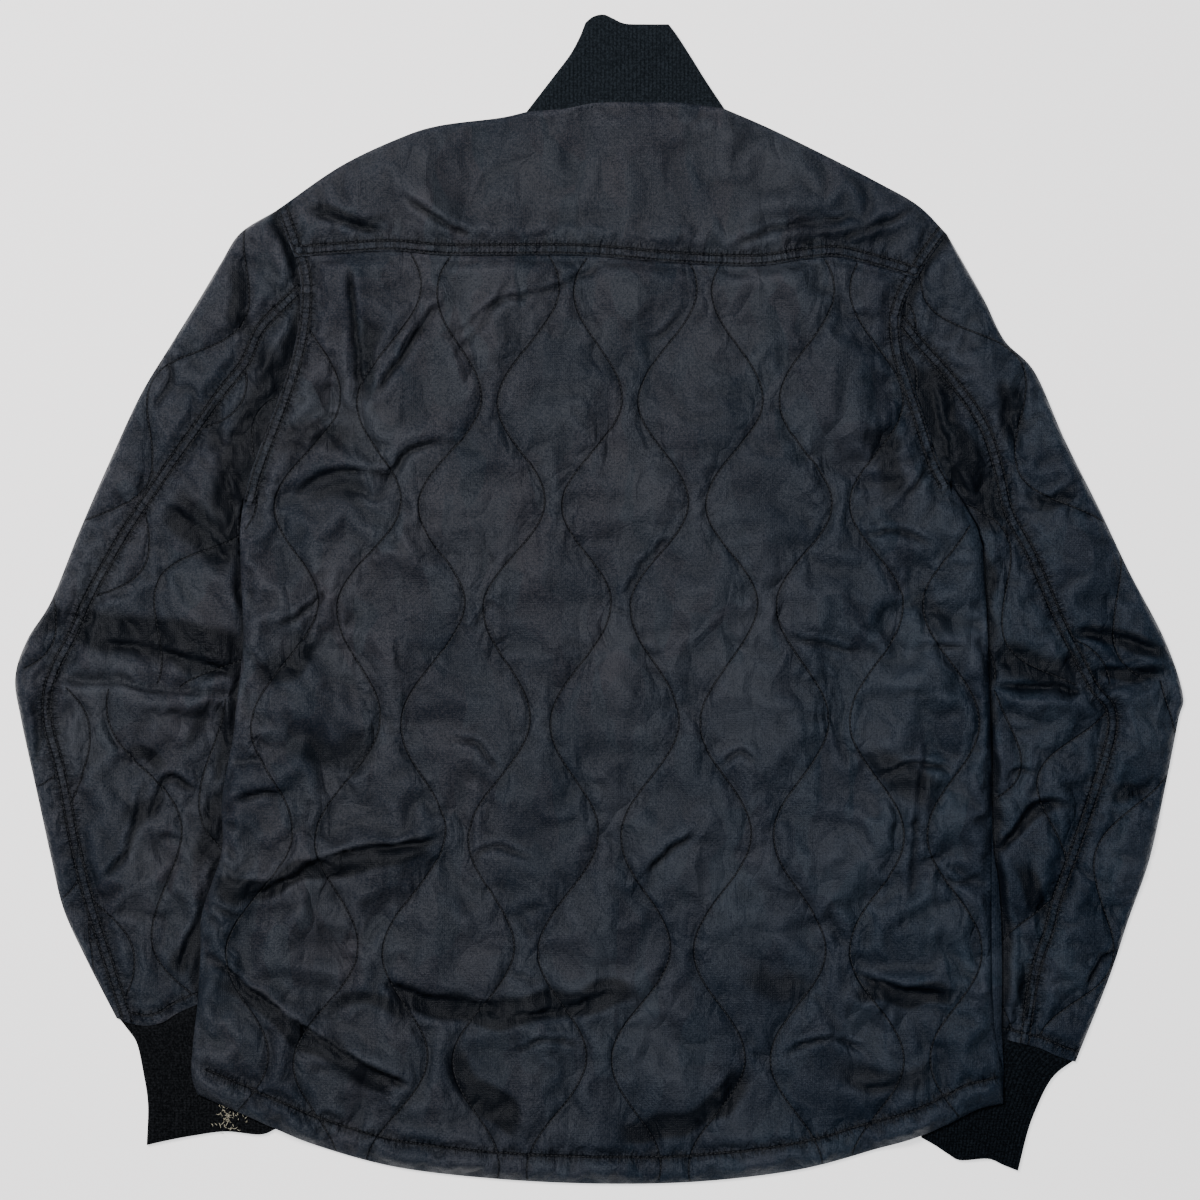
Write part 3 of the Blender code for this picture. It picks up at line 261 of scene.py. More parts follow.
# Loops of edges, counter-clockwise from above. A minus runs an edge backwards.
LOOPS = {
    "back_body": (
        "hem side_right_low side_right_top armhole_right_low armhole_right_mid yoke_seam"
        " armhole_left_mid armhole_left_low side_left_top side_left_low"
    ),
    "body": (
        "hem side_right_front side_right_top armhole_right_low armhole_right_mid armhole_right_top"
        " shoulder_right neck shoulder_left armhole_left_top armhole_left_mid armhole_left_low"
        " side_left_top side_left_low"
    ),
    "back_yoke": "-yoke_seam armhole_right_top shoulder_right neck shoulder_left armhole_left_top",
    "front_left": (
        "front_hem_left centre_front front_neck_left shoulder_left armhole_left_top"
        " armhole_left_mid armhole_left_low side_left_top side_left_low"
    ),
    "front_right": (
        "front_hem_right side_right_front side_right_top armhole_right_low armhole_right_mid"
        " armhole_right_top shoulder_right front_neck_right -centre_front"
    ),
    "sleeve_outer_left_top": (
        "sleeve_left_outer sleeve_left_end_a -sleeve_left_seam -armhole_left_mid -armhole_left_top"
    ),
    "sleeve_outer_left_under": (
        "sleeve_left_outer sleeve_left_end_a sleeve_left_end_b -sleeve_left_front"
        " -armhole_left_mid -armhole_left_top"
    ),
    "sleeve_inner_left_top": (
        "sleeve_left_seam sleeve_left_end_b sleeve_left_end_c -sleeve_left_inner -side_left_top"
        " -armhole_left_low"
    ),
    "sleeve_inner_left_under": (
        "sleeve_left_front sleeve_left_end_c -sleeve_left_inner -side_left_top -armhole_left_low"
    ),
    "sleeve_outer_right_top": (
        "-sleeve_right_outer -armhole_right_top -armhole_right_mid sleeve_right_seam"
        " -sleeve_right_end_a"
    ),
    "sleeve_outer_right_under": (
        "-sleeve_right_outer -armhole_right_top -armhole_right_mid sleeve_right_front"
        " -sleeve_right_end_b -sleeve_right_end_a"
    ),
    "sleeve_inner_right_top": (
        "-sleeve_right_seam -armhole_right_low -side_right_top sleeve_right_inner"
        " -sleeve_right_end_c -sleeve_right_end_b"
    ),
    "sleeve_inner_right_under": (
        "-sleeve_right_front -armhole_right_low -side_right_top sleeve_right_inner"
        " -sleeve_right_end_c"
    ),
    "collar_front_left": "-front_neck_left collar_end collar_free_left -collar_left",
    "collar_front_right": "-front_neck_right collar_right collar_free_right -collar_end",
}

# Edges where a piece runs round from its top sheet to its bottom sheet.
FOLDED = {
    "sleeve_outer_left": ("sleeve_left_outer",),
    "sleeve_inner_left": ("sleeve_left_inner", "side_left_top"),
    "sleeve_outer_right": ("sleeve_right_outer",),
    "sleeve_inner_right": ("sleeve_right_inner", "side_right_top"),
}

# Quilting runs in wavy lines that mirror each other. In its own frame (along, across) line i lies
# at across = centre + drift * along + i * (pitch + fan * along) +- wave, and turns back at each
# row. All in mm; hand 1 measures across to the right of the direction, -1 to its left.
Quilt = namedtuple("Quilt", "origin direction hand centre drift pitch fan wave rows")
QUILTS = {
    "back": Quilt((183.5, 0), (0, 1), 1, 0, 0, 48.3, -0.0136, 17.5,
                  (-448, -376, -304, -232, -156, -81, -4, 63, 131, 204, 277)),
    "outer_left": Quilt((-209, 258), (-0.51, -0.86), -1, 0, 0, 47, 0, 16,
                        (-47, 16, 78, 141, 203, 266, 328, 391, 454, 517, 580)),
    "inner_left_arm": Quilt((-209, 258), (-0.51, -0.86), -1, 25, 0, 47, 0, 17,
                            (-1, 62, 125, 188, 251, 314, 377, 440)),
    "inner_left_fore": Quilt((-381, -80), (0.31, -0.951), -1, 26, -0.122, 47.5, 0, 17,
                             (-136, -60, 16, 96, 168, 240, 312)),
    "outer_right_arm": Quilt((228, 240), (0.477, -0.879), 1, 13, 0, 47, 0, 18,
                             (-102, -35, 32, 98, 162, 228, 300, 366, 432)),
    "outer_right_fore": Quilt((383, -80), (-0.291, -0.957), 1, 11, 0, 47, 0, 16,
                              (-45, 27, 99, 168, 228, 296, 364)),
    "inner_right_arm": Quilt((228, 240), (0.477, -0.879), 1, 75, 0, 47, 0, 17,
                             (-3, 62, 127, 192, 257, 322, 387)),
    "inner_right_fore": Quilt((383, -80), (-0.291, -0.957), 1, 64, -0.05, 47, 0, 17,
                              (-61, 1, 63, 120, 186, 252, 318)),
}
ELBOW_MM = {
    "left": ((-390, -46), (-356, -55), (-315, -57), (-274, -61), (-239, -65), (-198, -68)),
    "right": ((198, -52), (260, -57), (300, -59), (329, -61), (373, -50), (392, -44)),
}

# The largest loose folds of the back and yoke, mm: how far each stands up, the width of its foot
# and the path it runs along.
FOLDS = {
    "back_body": (
        (4.4, 36, ((-246, -199), (-196, -173), (-162, -163), (-129, -166), (-104, -156))),
        (3.2, 28, ((-247, -126), (-225, -119), (-196, -118))),
        (3.6, 34, ((-252, -238), (-221, -266), (-195, -285), (-131, -317))),
        (2.8, 30, ((-158, 137), (-136, 170), (-112, 203))),
        (2.6, 28, ((-149, 82), (-130, 105), (-100, 115))),
        (2.8, 28, ((20, -182), (44, -160), (68, -145))),
        (3.6, 32, ((176, -262), (205, -256), (240, -262))),
    ),
    "back_yoke": (
        (2.4, 30, ((-140, 278), (-110, 260), (-78, 240))),
        (2.4, 30, ((205, 256), (165, 246), (122, 238))),
        (1.8, 28, ((85, 246), (115, 258), (165, 266))),
    ),
}


# ---- Plan geometry: arrays of (x, y) in metres ----
def curve(points_mm, step=GRID):
    """A smooth line through the points, as evenly spaced stations."""
    knots = np.array(points_mm, float) * MM
    before = 2 * knots[0] - knots[1]
    after = 2 * knots[-1] - knots[-2]
    padded = np.vstack([before, knots, after])
    t = np.linspace(0, 1, SPLINE_STEPS, endpoint=False)[:, None]
    spans = []
    for a, b, c, d in zip(padded, padded[1:], padded[2:], padded[3:]):
        square = (2 * a - 5 * b + 4 * c - d) * t**2
        cube = (3 * b - a - 3 * c + d) * t**3
        spans.append(0.5 * (2 * b + (c - a) * t + square + cube))
    fine = np.vstack([*spans, knots[-1:]])
    return resample(fine, max(1, round(path_length(fine) / step)))


def path_length(path):
    return float(np.linalg.norm(np.diff(path, axis=0), axis=1).sum())


def resample(path, segments):
    """Evenly spaced points on the path's own chords."""
    run = np.concatenate([[0], np.cumsum(np.linalg.norm(np.diff(path, axis=0), axis=1))])
    at = np.linspace(0, run[-1], segments + 1)
    return np.column_stack([np.interp(at, run, path[:, 0]), np.interp(at, run, path[:, 1])])


def inside(points, loop):
    """Whether each point is inside the closed loop."""
    found = np.zeros(len(points), bool)
    for (ax, ay), (bx, by) in zip(loop, np.roll(loop, -1, axis=0)):
        if ay == by:
            continue
        crosses = (ay > points[:, 1]) != (by > points[:, 1])
        found ^= crosses & (points[:, 0] < ax + (points[:, 1] - ay) * (bx - ax) / (by - ay))
    return found


def smooth(share):
    """0 to 1 with level ends."""
    share = np.clip(share, 0, 1)
    return share * share * (3 - 2 * share)


def offset(path, by):
    """The path moved to its left."""
    along = np.gradient(path, axis=0)
    along /= np.linalg.norm(along, axis=1)[:, None]
    return path + by * np.column_stack([-along[:, 1], along[:, 0]])


def at_x(path, x):
    """The path's points at these values of x, whichever way it runs."""
    order = np.argsort(path[:, 0])
    return np.column_stack([x, np.interp(x, path[order, 0], path[order, 1])])


EDGES = {name: curve(points) for name, points in EDGES_MM.items()}
for side in SIDES:
    parts = [EDGES[f"sleeve_{side}_end_{letter}"] for letter in "abc"]
    EDGES[f"cuff_{side}_top"] = np.vstack([parts[0][:-1], parts[1][:-1], parts[2]])


def signed_edge(signed_name):
    """An edge, run backwards if its name starts with a minus."""
    name = signed_name.lstrip("-")
    return EDGES[name][::-1] if signed_name.startswith("-") else EDGES[name]


def loop_points(loop_name):
    """The points round a closed loop of edges."""
    return np.vstack([signed_edge(name)[:-1] for name in LOOPS[loop_name].split()])


# ---- Measuring from paths ----
class Track:
    """Finds how far points lie from a set of paths, how far along them and on which side."""

    def __init__(self, paths):
        samples, tangents, runs, start = [], [], [], 0.0
        for path in paths:
            fine = resample(path, max(2, int(path_length(path) / MM)))
            step = path_length(fine) / (len(fine) - 1)
            tangent = np.gradient(fine, axis=0)
            samples.append(fine)
            tangents.append(tangent / np.linalg.norm(tangent, axis=1)[:, None])
            runs.append(start + step * np.arange(len(fine)))
            start += path_length(fine) + RUN_BREAK
        self.samples = np.vstack(samples)
        self.tangents = np.vstack(tangents)
        self.runs = np.concatenate(runs)
        self.tree = kdtree.KDTree(len(self.samples))
        for number, (x, y) in enumerate(self.samples):
            self.tree.insert((x, y, 0), number)
        self.tree.balance()

    def measure(self, points):
        """The gap, the run along the paths and the signed gap, positive to a path's left."""
        found = np.array([self.tree.find((x, y, 0))[1] for x, y in points])
        away = points - self.samples[found]
        tangent = self.tangents[found]
        ahead = np.clip((away * tangent).sum(axis=1), -MM, MM)
        gap = np.linalg.norm(away - ahead[:, None] * tangent, axis=1)
        side = np.sign(tangent[:, 0] * away[:, 1] - tangent[:, 1] * away[:, 0])
        return gap, self.runs[found] + ahead, gap * side

    def gap(self, points):
        return self.measure(points)[0]


TRACKS = {}  # kept for edges that are measured again and again


def gap_from(points, *edge_names):
    """Distance to the nearest of the named edges."""
    if edge_names not in TRACKS:
        TRACKS[edge_names] = Track([EDGES[name] for name in edge_names])
    return TRACKS[edge_names].gap(points)


def gap_to(points, region):
    """Distance to a region, 0 inside it."""
    away = Track([np.vstack([region, region[:1]])]).gap(points)
    away[inside(points, region)] = 0
    return away


def tucked_region(side):
    """Plan region of a forearm and cuff under the body, and of everything further out."""
    beyond = OUTSIDE if side == "right" else -OUTSIDE
    inner = EDGES[f"sleeve_{side}_inner"]
    cuff = EDGES[f"cuff_{side}_inner"]
    return np.vstack([inner, cuff, [[beyond, cuff[-1, 1]], [beyond, inner[0, 1]]]])


BODY = loop_points("body")
TUCKED = [tucked_region("left"), tucked_region("right")]


def ramp(points):
    """1 over a tucked forearm, falling to 0 beside it."""
    away = np.minimum(*[gap_to(points, region) for region in TUCKED])
    return 1 - smooth((away - TUCK_MARGIN) / TUCK_RAMP)


def noise_at(points, size, seed, squeeze=1.0):
    """Smooth noise from about -1 to 1 with features of this size."""
    scaled = np.column_stack([points[:, 0] / size, points[:, 1] / (size * squeeze)])
    return np.array([noise.noise((x, y, seed)) for x, y in scaled]) * NOISE_GAIN


def noise_along(run, size, seed):
    """Noise that changes only along a path."""
    return noise_at(np.column_stack([run, 0 * run]), size, seed)


def warped(points, by, size, seeds):
    """The points moved aside by about this much at most, in smooth swirls of this size."""
    return points + by * np.column_stack([noise_at(points, size, seed) for seed in seeds])


# ---- Quilting and other rows of stitches ----
def quilt_axes(quilt):
    along = np.array(quilt.direction) / np.linalg.norm(quilt.direction)
    across = quilt.hand * np.array([along[1], -along[0]])
    return along, across


def quilt_line(quilt, number, along):
    """Where line number lies across, at each place along."""
    turn = np.interp(along, quilt.rows, np.arange(len(quilt.rows)))
    wave = quilt.wave * np.cos(np.pi * turn) * (-1) ** number
    return quilt.centre + quilt.drift * along + number * (quilt.pitch + quilt.fan * along) + wave


def quilt_puff(quilt, points):
    """Height of the padding between the quilting lines, as a share of the fullest."""
    axes = quilt_axes(quilt)
    along, across = [(points / MM - quilt.origin) @ axis for axis in axes]
    puff = np.zeros(len(points))
    for number in range(-LINES, LINES):
        low = quilt_line(quilt, number, along)
        wide = quilt_line(quilt, number + 1, along) - low
        share = np.clip((across - low) / wide, 0, 1)
        full = np.clip(wide * MM / QUILT_BELLY, 0, 1) ** 0.9
        puff = np.maximum(puff, full * (4 * share * (1 - share)) ** 0.8)
    return puff


def quilt_paths(quilt, step=2):
    """The quilting's lines, with a point at every step in mm."""
    along = np.arange(quilt.rows[0], quilt.rows[-1], step)
    along_axis, across_axis = quilt_axes(quilt)
    paths = []
    for number in range(-LINES, LINES):
        across = quilt_line(quilt, number, along)
        paths.append((quilt.origin + np.outer(along, along_axis) + np.outer(across, across_axis)) * MM)
    return paths


def cut(path, fits):
    """The stretches of the path where fits is true."""
    pieces = []
    start = None
    for number, fit in enumerate(np.append(fits, False)):
        if fit and start is None:
            start = number
        elif not fit and start is not None:
            if number - start > SHORT:
                pieces.append(path[start:number])
            start = None
    return pieces


def clip_paths(paths, ring, keep=None):
    """The stretches of the paths inside the ring, and where keep holds."""
    kept = []
    low, high = ring.min(axis=0), ring.max(axis=0)
    for path in paths:
        path = path[((path > low) & (path < high)).all(axis=1)]
        if len(path) > SHORT:
            fine = resample(path, int(path_length(path) / (2 * MM)))
            fits = inside(fine, ring)
            if keep is not None:
                fits &= keep(fine)
            kept.extend(cut(fine, fits))
    return kept


# Rows of stitches on one piece, as paths. Double rows hold a seam down; quilting is single. The
# folds and the middles of the double seams have no stitches.
Rows = namedtuple("Rows", "double single quilting folds middles", defaults=[()] * 5)


def seam_lines(seams, places):
    """Lines at these places from the middles of double seams.

    A seam is the names of its edges, and how far its middle lies to their left.
    """
    lines = []
    for names, middle in seams:
        lines += [offset(EDGES[name], middle + at) for name in names for at in places]
    return lines


def seam_paths(ring, *seams):
    """The double seams' own part of a panel's Rows."""
    return {
        "double": clip_paths(seam_lines(seams, (ROW_SPREAD, -ROW_SPREAD)), ring),
        "folds": clip_paths(seam_lines(seams, (SEAM_HALF, 0, -SEAM_HALF)), ring),
        "middles": seam_lines(seams, (0,)),
    }


SEAM_PROFILE = (  # distance from the middle, height, both in mm
    (0, 0.9), (1.8, 0.85), (2.8, 0.1), (3.5, 0.6), (4.0, 0.45), (4.4, -0.1), (6.0, 0.0)
)


def seam_band(points, edge_names, middle):
    """The raised band of a double seam, pinched along both rows."""
    key = ("band", middle, *edge_names)
    if key not in TRACKS:
        TRACKS[key] = Track([offset(EDGES[name], middle) for name in edge_names])
    gap, run, _ = TRACKS[key].measure(points)
    steps, heights = np.transpose(SEAM_PROFILE)
    ripple = 0.3 * noise_at(np.column_stack([run, 0.25 * gap]), 4.5 * MM, 7.0)
    return np.interp(gap / MM, steps, heights) * MM * (1 + ripple)


def puckers(kind, points, paths):
    """Short wrinkles that run out from rows of stitches."""
    if not paths:
        return np.zeros(len(points))
    size, reach, height = [value * MM for value in PUCKERS[kind][:3]]
    seed = PUCKERS[kind][3]
    gap, run, _ = Track(paths).measure(points)
    field = noise_at(np.column_stack([run, gap * 0.16]), size, seed)
    far = reach * (0.75 + 0.5 * noise_along(run, 2.2 * size, seed + 5))
    fall = smooth(gap / (2.6 * MM)) * (1 - smooth(gap / np.maximum(far, 2 * MM)))
    return height * (1 - 2 * np.abs(field)) * fall


def crumple(kind, points):
    """Soft dents and swells in slack padded cloth, with sharper valleys between them."""
    height, seed = CRUMPLES[kind]
    bent = warped(points, 22 * MM, 90 * MM, (seed + 1, seed + 2))
    turned = bent @ np.array([[0.8, -0.6], [0.6, 0.8]])
    broad = 1.4 * np.abs(noise_at(turned, 62 * MM, seed, 1.5)) ** 0.8 - 0.5
    middle = 1.4 * np.abs(noise_at(turned, 30 * MM, seed + 3, 1.3)) ** 0.8 - 0.5
    small = 1.2 * np.abs(noise_at(bent, 13 * MM, seed + 6, 0.8)) - 0.4
    return height * MM * (broad + 0.5 * middle + 0.16 * small)


def loose_cloth(points):
    """How slack the back is: calmer in the middle than along its sides and its left hem."""
    beside = smooth((np.abs(points[:, 0]) - 95 * MM) / (95 * MM))
    lower_left = smooth(-points[:, 1] / (240 * MM)) * smooth(0.5 - points[:, 0] / (250 * MM))
    return 0.6 + 0.7 * beside + 0.3 * lower_left


def facets(kind, points):
    """Flat patches between short sharp valleys, as in paper that was crumpled and smoothed."""
    rise = np.zeros(len(points))
    for size_mm, height_mm, seed in FACETS[kind]:
        size = size_mm * MM
        bent = warped(points, 9 * MM, 70 * MM, (seed + 1, seed + 2))
        turned = bent @ np.array([[0.82, -0.57], [0.57, 0.82]]) / [size, 1.7 * size]
        split = []
        for x, y in turned:
            near = noise.voronoi((x, y, seed))[0]
            split.append(min(near[1] - near[0], 0.5))
        fresh = smooth(0.5 + 1.1 * noise_at(points, 55 * MM, seed + 3))
        rise += height_mm * MM * (2 * np.array(split) - 0.6) * fresh
    return rise


# ---- Creases and hollows ----
# For each piece, mm: a crease's depth, the width of its trough and its path. The cloth to the left
# of the path stands up in a steep lip; to its right it slopes away.
CREASES = {
    "back_body": (
        (4.2, 8, ((-246, -134), (-225, -128), (-202, -126))),
        (6.0, 11, ((-235, -200), (-205, -184), (-172, -168), (-140, -163), (-105, -158))),
        (3.6, 7, ((-258, -199), (-243, -206), (-229, -209))),
        (5.4, 9, ((-256, -236), (-226, -260), (-196, -282), (-160, -304), (-125, -322))),
        (4.6, 8, ((-163, 222), (-160, 180), (-157, 139))),
        (5.0, 8, ((-151, 134), (-131, 162), (-108, 196))),
        (3.8, 7, ((-144, 76), (-126, 97), (-104, 106))),
        (4.0, 7, ((26, -184), (47, -166), (65, -151))),
        (3.4, 7, ((214, -32), (230, -30), (246, -31))),
        (5.2, 10, ((168, -246), (200, -257), (238, -260))),
        (4.4, 9, ((-148, -250), (-112, -263), (-66, -268))),
        (4.0, 9, ((-64, -276), (-30, -272), (14, -258))),
        (3.8, 8, ((-206, 62), (-188, 80), (-160, 86), (-132, 81))),
        (2.8, 6, ((-198, 108), (-178, 122), (-160, 126))),
        (2.0, 6, ((-96, 174), (-66, 196), (-30, 206), (4, 222))),
        (2.0, 6, ((-98, 158), (-76, 184), (-58, 212))),
        (2.6, 6, ((28, 171), (42, 176), (56, 192))),
        (3.2, 7, ((172, 42), (196, 46), (222, 38))),
        (3.0, 7, ((124, -24), (150, -30), (178, -35))),
        (2.6, 5, ((-88, -22), (-78, -10), (-66, 2))),
        (2.6, 5, ((12, -2), (30, 24), (48, 46))),
        (2.8, 6, ((-100, -90), (-80, -95), (-64, -116))),
        (2.6, 6, ((-88, -180), (-72, -162), (-44, -170))),
        (2.6, 6, ((76, -114), (92, -101), (108, -108))),
        (2.6, 8, ((205, -200), (208, -150), (215, -92))),
        (3.0, 6, ((222, -178), (238, -187), (256, -178))),
        (3.0, 6, ((164, -316), (180, -322), (200, -317))),
        (3.4, 6, ((-216, -20), (-196, -8), (-178, 10))),
        (3.4, 7, ((196, 60), (214, 84), (224, 112))),
        (3.4, 7, ((176, -120), (206, -108), (236, -112))),
        (3.0, 6, ((120, -300), (150, -290), (178, -296))),
        (3.0, 6, ((-60, -300), (-34, -290), (-10, -296))),
    ),
    "back_yoke": (
        (3.6, 8, ((-197, 259), (-168, 250), (-138, 242))),
        (3.4, 7, ((-131, 269), (-106, 252), (-80, 240))),
        (3.4, 7, ((212, 257), (168, 240), (124, 232))),
        (2.8, 7, ((84, 233), (112, 244), (171, 255))),
    ),
    "sleeve_inner_left": (
        (4.5, 12, ((-252, 92), (-241, 62), (-236, 30))),
        (4.0, 16, ((-288, 64), (-262, 44), (-242, 22))),
        (4.0, 14, ((-246, 232), (-240, 200), (-238, 168))),
        (4.5, 14, ((-330, -28), (-290, -34), (-250, -46), (-236, -56))),
        (4.0, 9, ((-248, -61), (-249, -106), (-256, -157))),
        (4.0, 9, ((-300, -150), (-286, -118), (-262, -128))),
        (3.6, 8, ((-330, -186), (-312, -164), (-300, -120))),
        (4.4, 10, ((-278, -250), (-268, -216), (-250, -196))),
    ),
    "sleeve_outer_left": (
        (3.4, 8, ((-352, -8), (-330, -14), (-312, -6))),
        (3.0, 7, ((-296, 122), (-284, 146), (-288, 168))),
        (3.0, 7, ((-378, -62), (-368, -84), (-372, -112))),
    ),
    "sleeve_inner_right": (
        (5.0, 12, ((217, 148), (232, 96), (246, 64))),
        (4.0, 12, ((250, 92), (258, 66), (264, 40))),
        (4.4, 12, ((262, -59), (290, -57), (326, -62))),
        (4.8, 8, ((258, -172), (272, -156), (286, -138), (300, -134), (316, -138))),
        (3.6, 8, ((285, -238), (286, -262), (296, -278))),
        (3.4, 8, ((264, -120), (278, -112), (292, -116))),
    ),
    "sleeve_outer_right": (
        (4.0, 10, ((266, 146), (272, 118), (280, 96))),
        (3.6, 8, ((278, 72), (296, 66), (314, 76))),
        (4.4, 9, ((314, -22), (340, -24), (372, -34))),
        (4.4, 9, ((326, -48), (350, -46), (374, -50))),
        (3.6, 8, ((334, -132), (350, -130), (368, -122))),
        (3.4, 8, ((318, -262), (330, -240), (346, -226))),
    ),
}

# Across a crease: places as shares of half its width, and the shape there as a share of its depth
LIP_SHAPE = ((0, 0.35, 0.7, 1.3, 2.6), (0, 0.55, 0.62, 0.3, 0))
TROUGH_SHAPE = ((-1.6, -0.6, 0, 0.4), (0, 0.55, 1, 0))
LIP_SHARE = 0.55


def crease_rise(piece, points):
    """Height that the creases add, their paths and depths a little uneven."""
    bent = warped(points, 1.1 * MM, 11 * MM, (91.0, 93.0))
    rise = np.zeros(len(points))
    for depth, width, path_mm in CREASES.get(piece, ()):
        path = curve(path_mm)
        half = width * MM / 2
        _, run, side = Track([path]).measure(bent)
        uneven = 0.85 + 0.4 * noise_along(run, 14 * MM, 95.0)
        lip = np.interp(side / half, *LIP_SHAPE)
        trough = np.interp(side / half, *TROUGH_SHAPE)
        ends = np.minimum(run, path_length(path) - run)
        reach = np.hypot(np.minimum(ends, 0), side) < 3 * half
        fade = smooth(0.1 + ends / (16 * MM)) * reach
        rise += depth * MM * fade * uneven * (LIP_SHARE * lip - trough)
    return rise


# Where slack cloth sinks between layers and folds, and gets painted shade as if in shadow. For each
# piece: the strength of each from 0 to 1, its width in mm and its path in mm. Softest at its ends.
HOLLOWS_AND_SHADE = {
    "sleeve_inner_left": (
        (0.75, 52, ((-206, 168), (-222, 118), (-238, 70), (-240, 20))),
        (0.7, 40, ((-286, 68), (-262, 44), (-240, 24))),
        (0.5, 26, ((-270, 150), (-256, 120), (-250, 90))),
        (0.9, 40, ((-350, -16), (-300, -24), (-250, -36), (-220, -46))),
        (0.8, 24, ((-278, -256), (-268, -224), (-252, -196))),
        (0.8, 26, ((-262, -180), (-252, -150), (-248, -120))),
        (0.7, 16, ((-318, -108), (-296, -104), (-286, -122))),
        (0.6, 20, ((-312, -150), (-298, -132), (-284, -142))),
        (0.5, 18, ((-262, -62), (-264, -84), (-280, -104))),
    ),
    "sleeve_outer_left": (
        (0.65, 24, ((-242, 228), (-238, 200), (-237, 168))),
        (0.6, 22, ((-380, -24), (-362, -14), (-346, -10))),
    ),
    "sleeve_inner_right": (
        (0.95, 40, ((210, 158), (222, 130), (238, 92), (250, 60))),
        (0.7, 28, ((248, 96), (256, 70), (262, 40))),
        (0.75, 36, ((256, -36), (286, -44), (322, -52))),
        (0.6, 56, ((242, -70), (242, -150), (246, -270))),
        (0.85, 14, ((256, -176), (272, -156), (286, -138), (314, -138))),
        (0.8, 18, ((276, -170), (288, -196), (292, -216))),
        (0.8, 16, ((276, -240), (282, -266), (290, -284))),
    ),
    "sleeve_outer_right": (
        (0.65, 22, ((270, 150), (272, 120), (278, 96))),
        (0.6, 20, ((278, 72), (298, 66), (318, 78))),
        (0.85, 16, ((312, -22), (342, -25), (376, -36))),
        (0.85, 16, ((322, -50), (350, -46), (376, -50))),
        (0.6, 16, ((332, -132), (350, -130), (368, -120))),
    ),
    "back_body": (
        (0.95, 26, ((-258, -192), (-226, -194), (-192, -180), (-158, -171), (-112, -167))),
        (0.85, 22, ((-250, -246), (-222, -268), (-192, -290), (-130, -326))),
        (0.6, 18, ((-184, -276), (-152, -263), (-122, -276))),
        (0.6, 26, ((-158, 128), (-154, 160), (-148, 192))),
        (0.5, 36, ((-214, 90), (-190, 110), (-160, 100))),
        (0.6, 26, ((-226, -62), (-204, -42), (-190, -16))),
        (0.5, 34, ((-210, -92), (-176, -104), (-140, -92))),
        (0.95, 24, ((170, -252), (200, -262), (236, -263))),
        (0.9, 26, ((-144, -256), (-108, -268), (-60, -273), (-14, -265), (28, -256))),
        (0.95, 26, ((-99, -300), (-80, -328), (-48, -350))),
        (0.6, 28, ((174, -96), (200, -118), (226, -132))),
        (0.5, 34, ((92, -238), (118, -256), (144, -250))),
        (0.85, 24, ((12, -352), (52, -347), (82, -332), (97, -306))),
        (0.5, 30, ((-200, 70), (-176, 76), (-146, 70))),
        (0.55, 26, ((176, 120), (192, 92), (196, 56))),
        (0.5, 24, ((206, 10), (222, -10), (240, -20))),
        (0.5, 26, ((152, -306), (190, -318), (232, -312))),
    ),
    "back_yoke": (
        (0.7, 16, ((-196, 262), (-168, 252), (-140, 246))),
        (0.4, 26, ((120, 236), (160, 244), (200, 240))),
    ),
}


def hollow_and_shade_at(piece, points):
    """How deep the cloth sinks at each point, and how much painted shade it gets, from 0 to 1."""
    bent = warped(points, 5 * MM, 26 * MM, (81.0, 83.0))
    deepest = np.zeros(len(points))
    if piece.startswith("sleeve"):
        # painted shade on a sleeve along the edge of the body that lies over it
        deepest = 0.85 * (1 - smooth(gap_to(bent, BODY) / (9 * MM)))
    for strength, width, path_mm in HOLLOWS_AND_SHADE.get(piece, ()):
        path = curve(path_mm)
        gap, run, _ = Track([path]).measure(bent)
        ends = np.minimum(run, path_length(path) - run)
        fade = smooth(0.25 + ends / (24 * MM))
        side = np.clip(1.35 - 1.35 * gap / (width * MM / 2), 0, 1)
        deepest = np.maximum(deepest, strength * fade * smooth(side))
    # and painted shade in the troughs of the creases
    return np.maximum(deepest, np.clip(-crease_rise(piece, points) / (5 * MM), 0, 0.8))


def fold_rise(piece, points):
    """Height that the largest loose folds add, as in the solids."""
    rise = np.zeros(len(points))
    for rise_mm, width, path_mm in FOLDS.get(piece, ()):
        path = curve(path_mm)
        side = smooth(1 - Track([path]).gap(points) / (width * MM / 2))
        ends = np.linalg.norm(points[:, None] - path[[0, -1]], axis=2).min(axis=1)
        rise = np.maximum(rise, rise_mm * MM * side * smooth(0.35 + ends / (22 * MM)))
    return rise


# ---- Nets of triangles ----
# A skin's ring has the numbers of the points round its outside.
Skin = namedtuple("Skin", "points faces ring")
# Columns of the measures kept for each point, and those of a point far from any stitches.
GAP, RUN, GATHERED, HOLLOW_AND_SHADE = range(4)
FAR = (1.0, 0.0, 0.0, 0.0)
# The attributes that the materials read: name, column, unit.
ATTRIBUTES = (
    ("stitch_gap", GAP, MM),
    ("stitch_run", RUN, MM),
    ("gathered", GATHERED, 1),
    ("hollow_and_shade", HOLLOW_AND_SHADE, 1),
)


ROW_STEP = 0.8660254  # height of an even triangle, as a share of its side


def lattice(ring, spacing):
    """Staggered points over the ring's box."""
    steps = np.array([1, ROW_STEP]) * spacing
    low = np.floor(ring.min(axis=0) / steps).astype(int)
    high = np.ceil(ring.max(axis=0) / steps).astype(int)
    x, y = np.meshgrid(np.arange(low[0], high[0] + 1), np.arange(low[1], high[1] + 1))
    return np.column_stack([(x + 0.5 * (y % 2)).ravel(), y.ravel()]) * steps


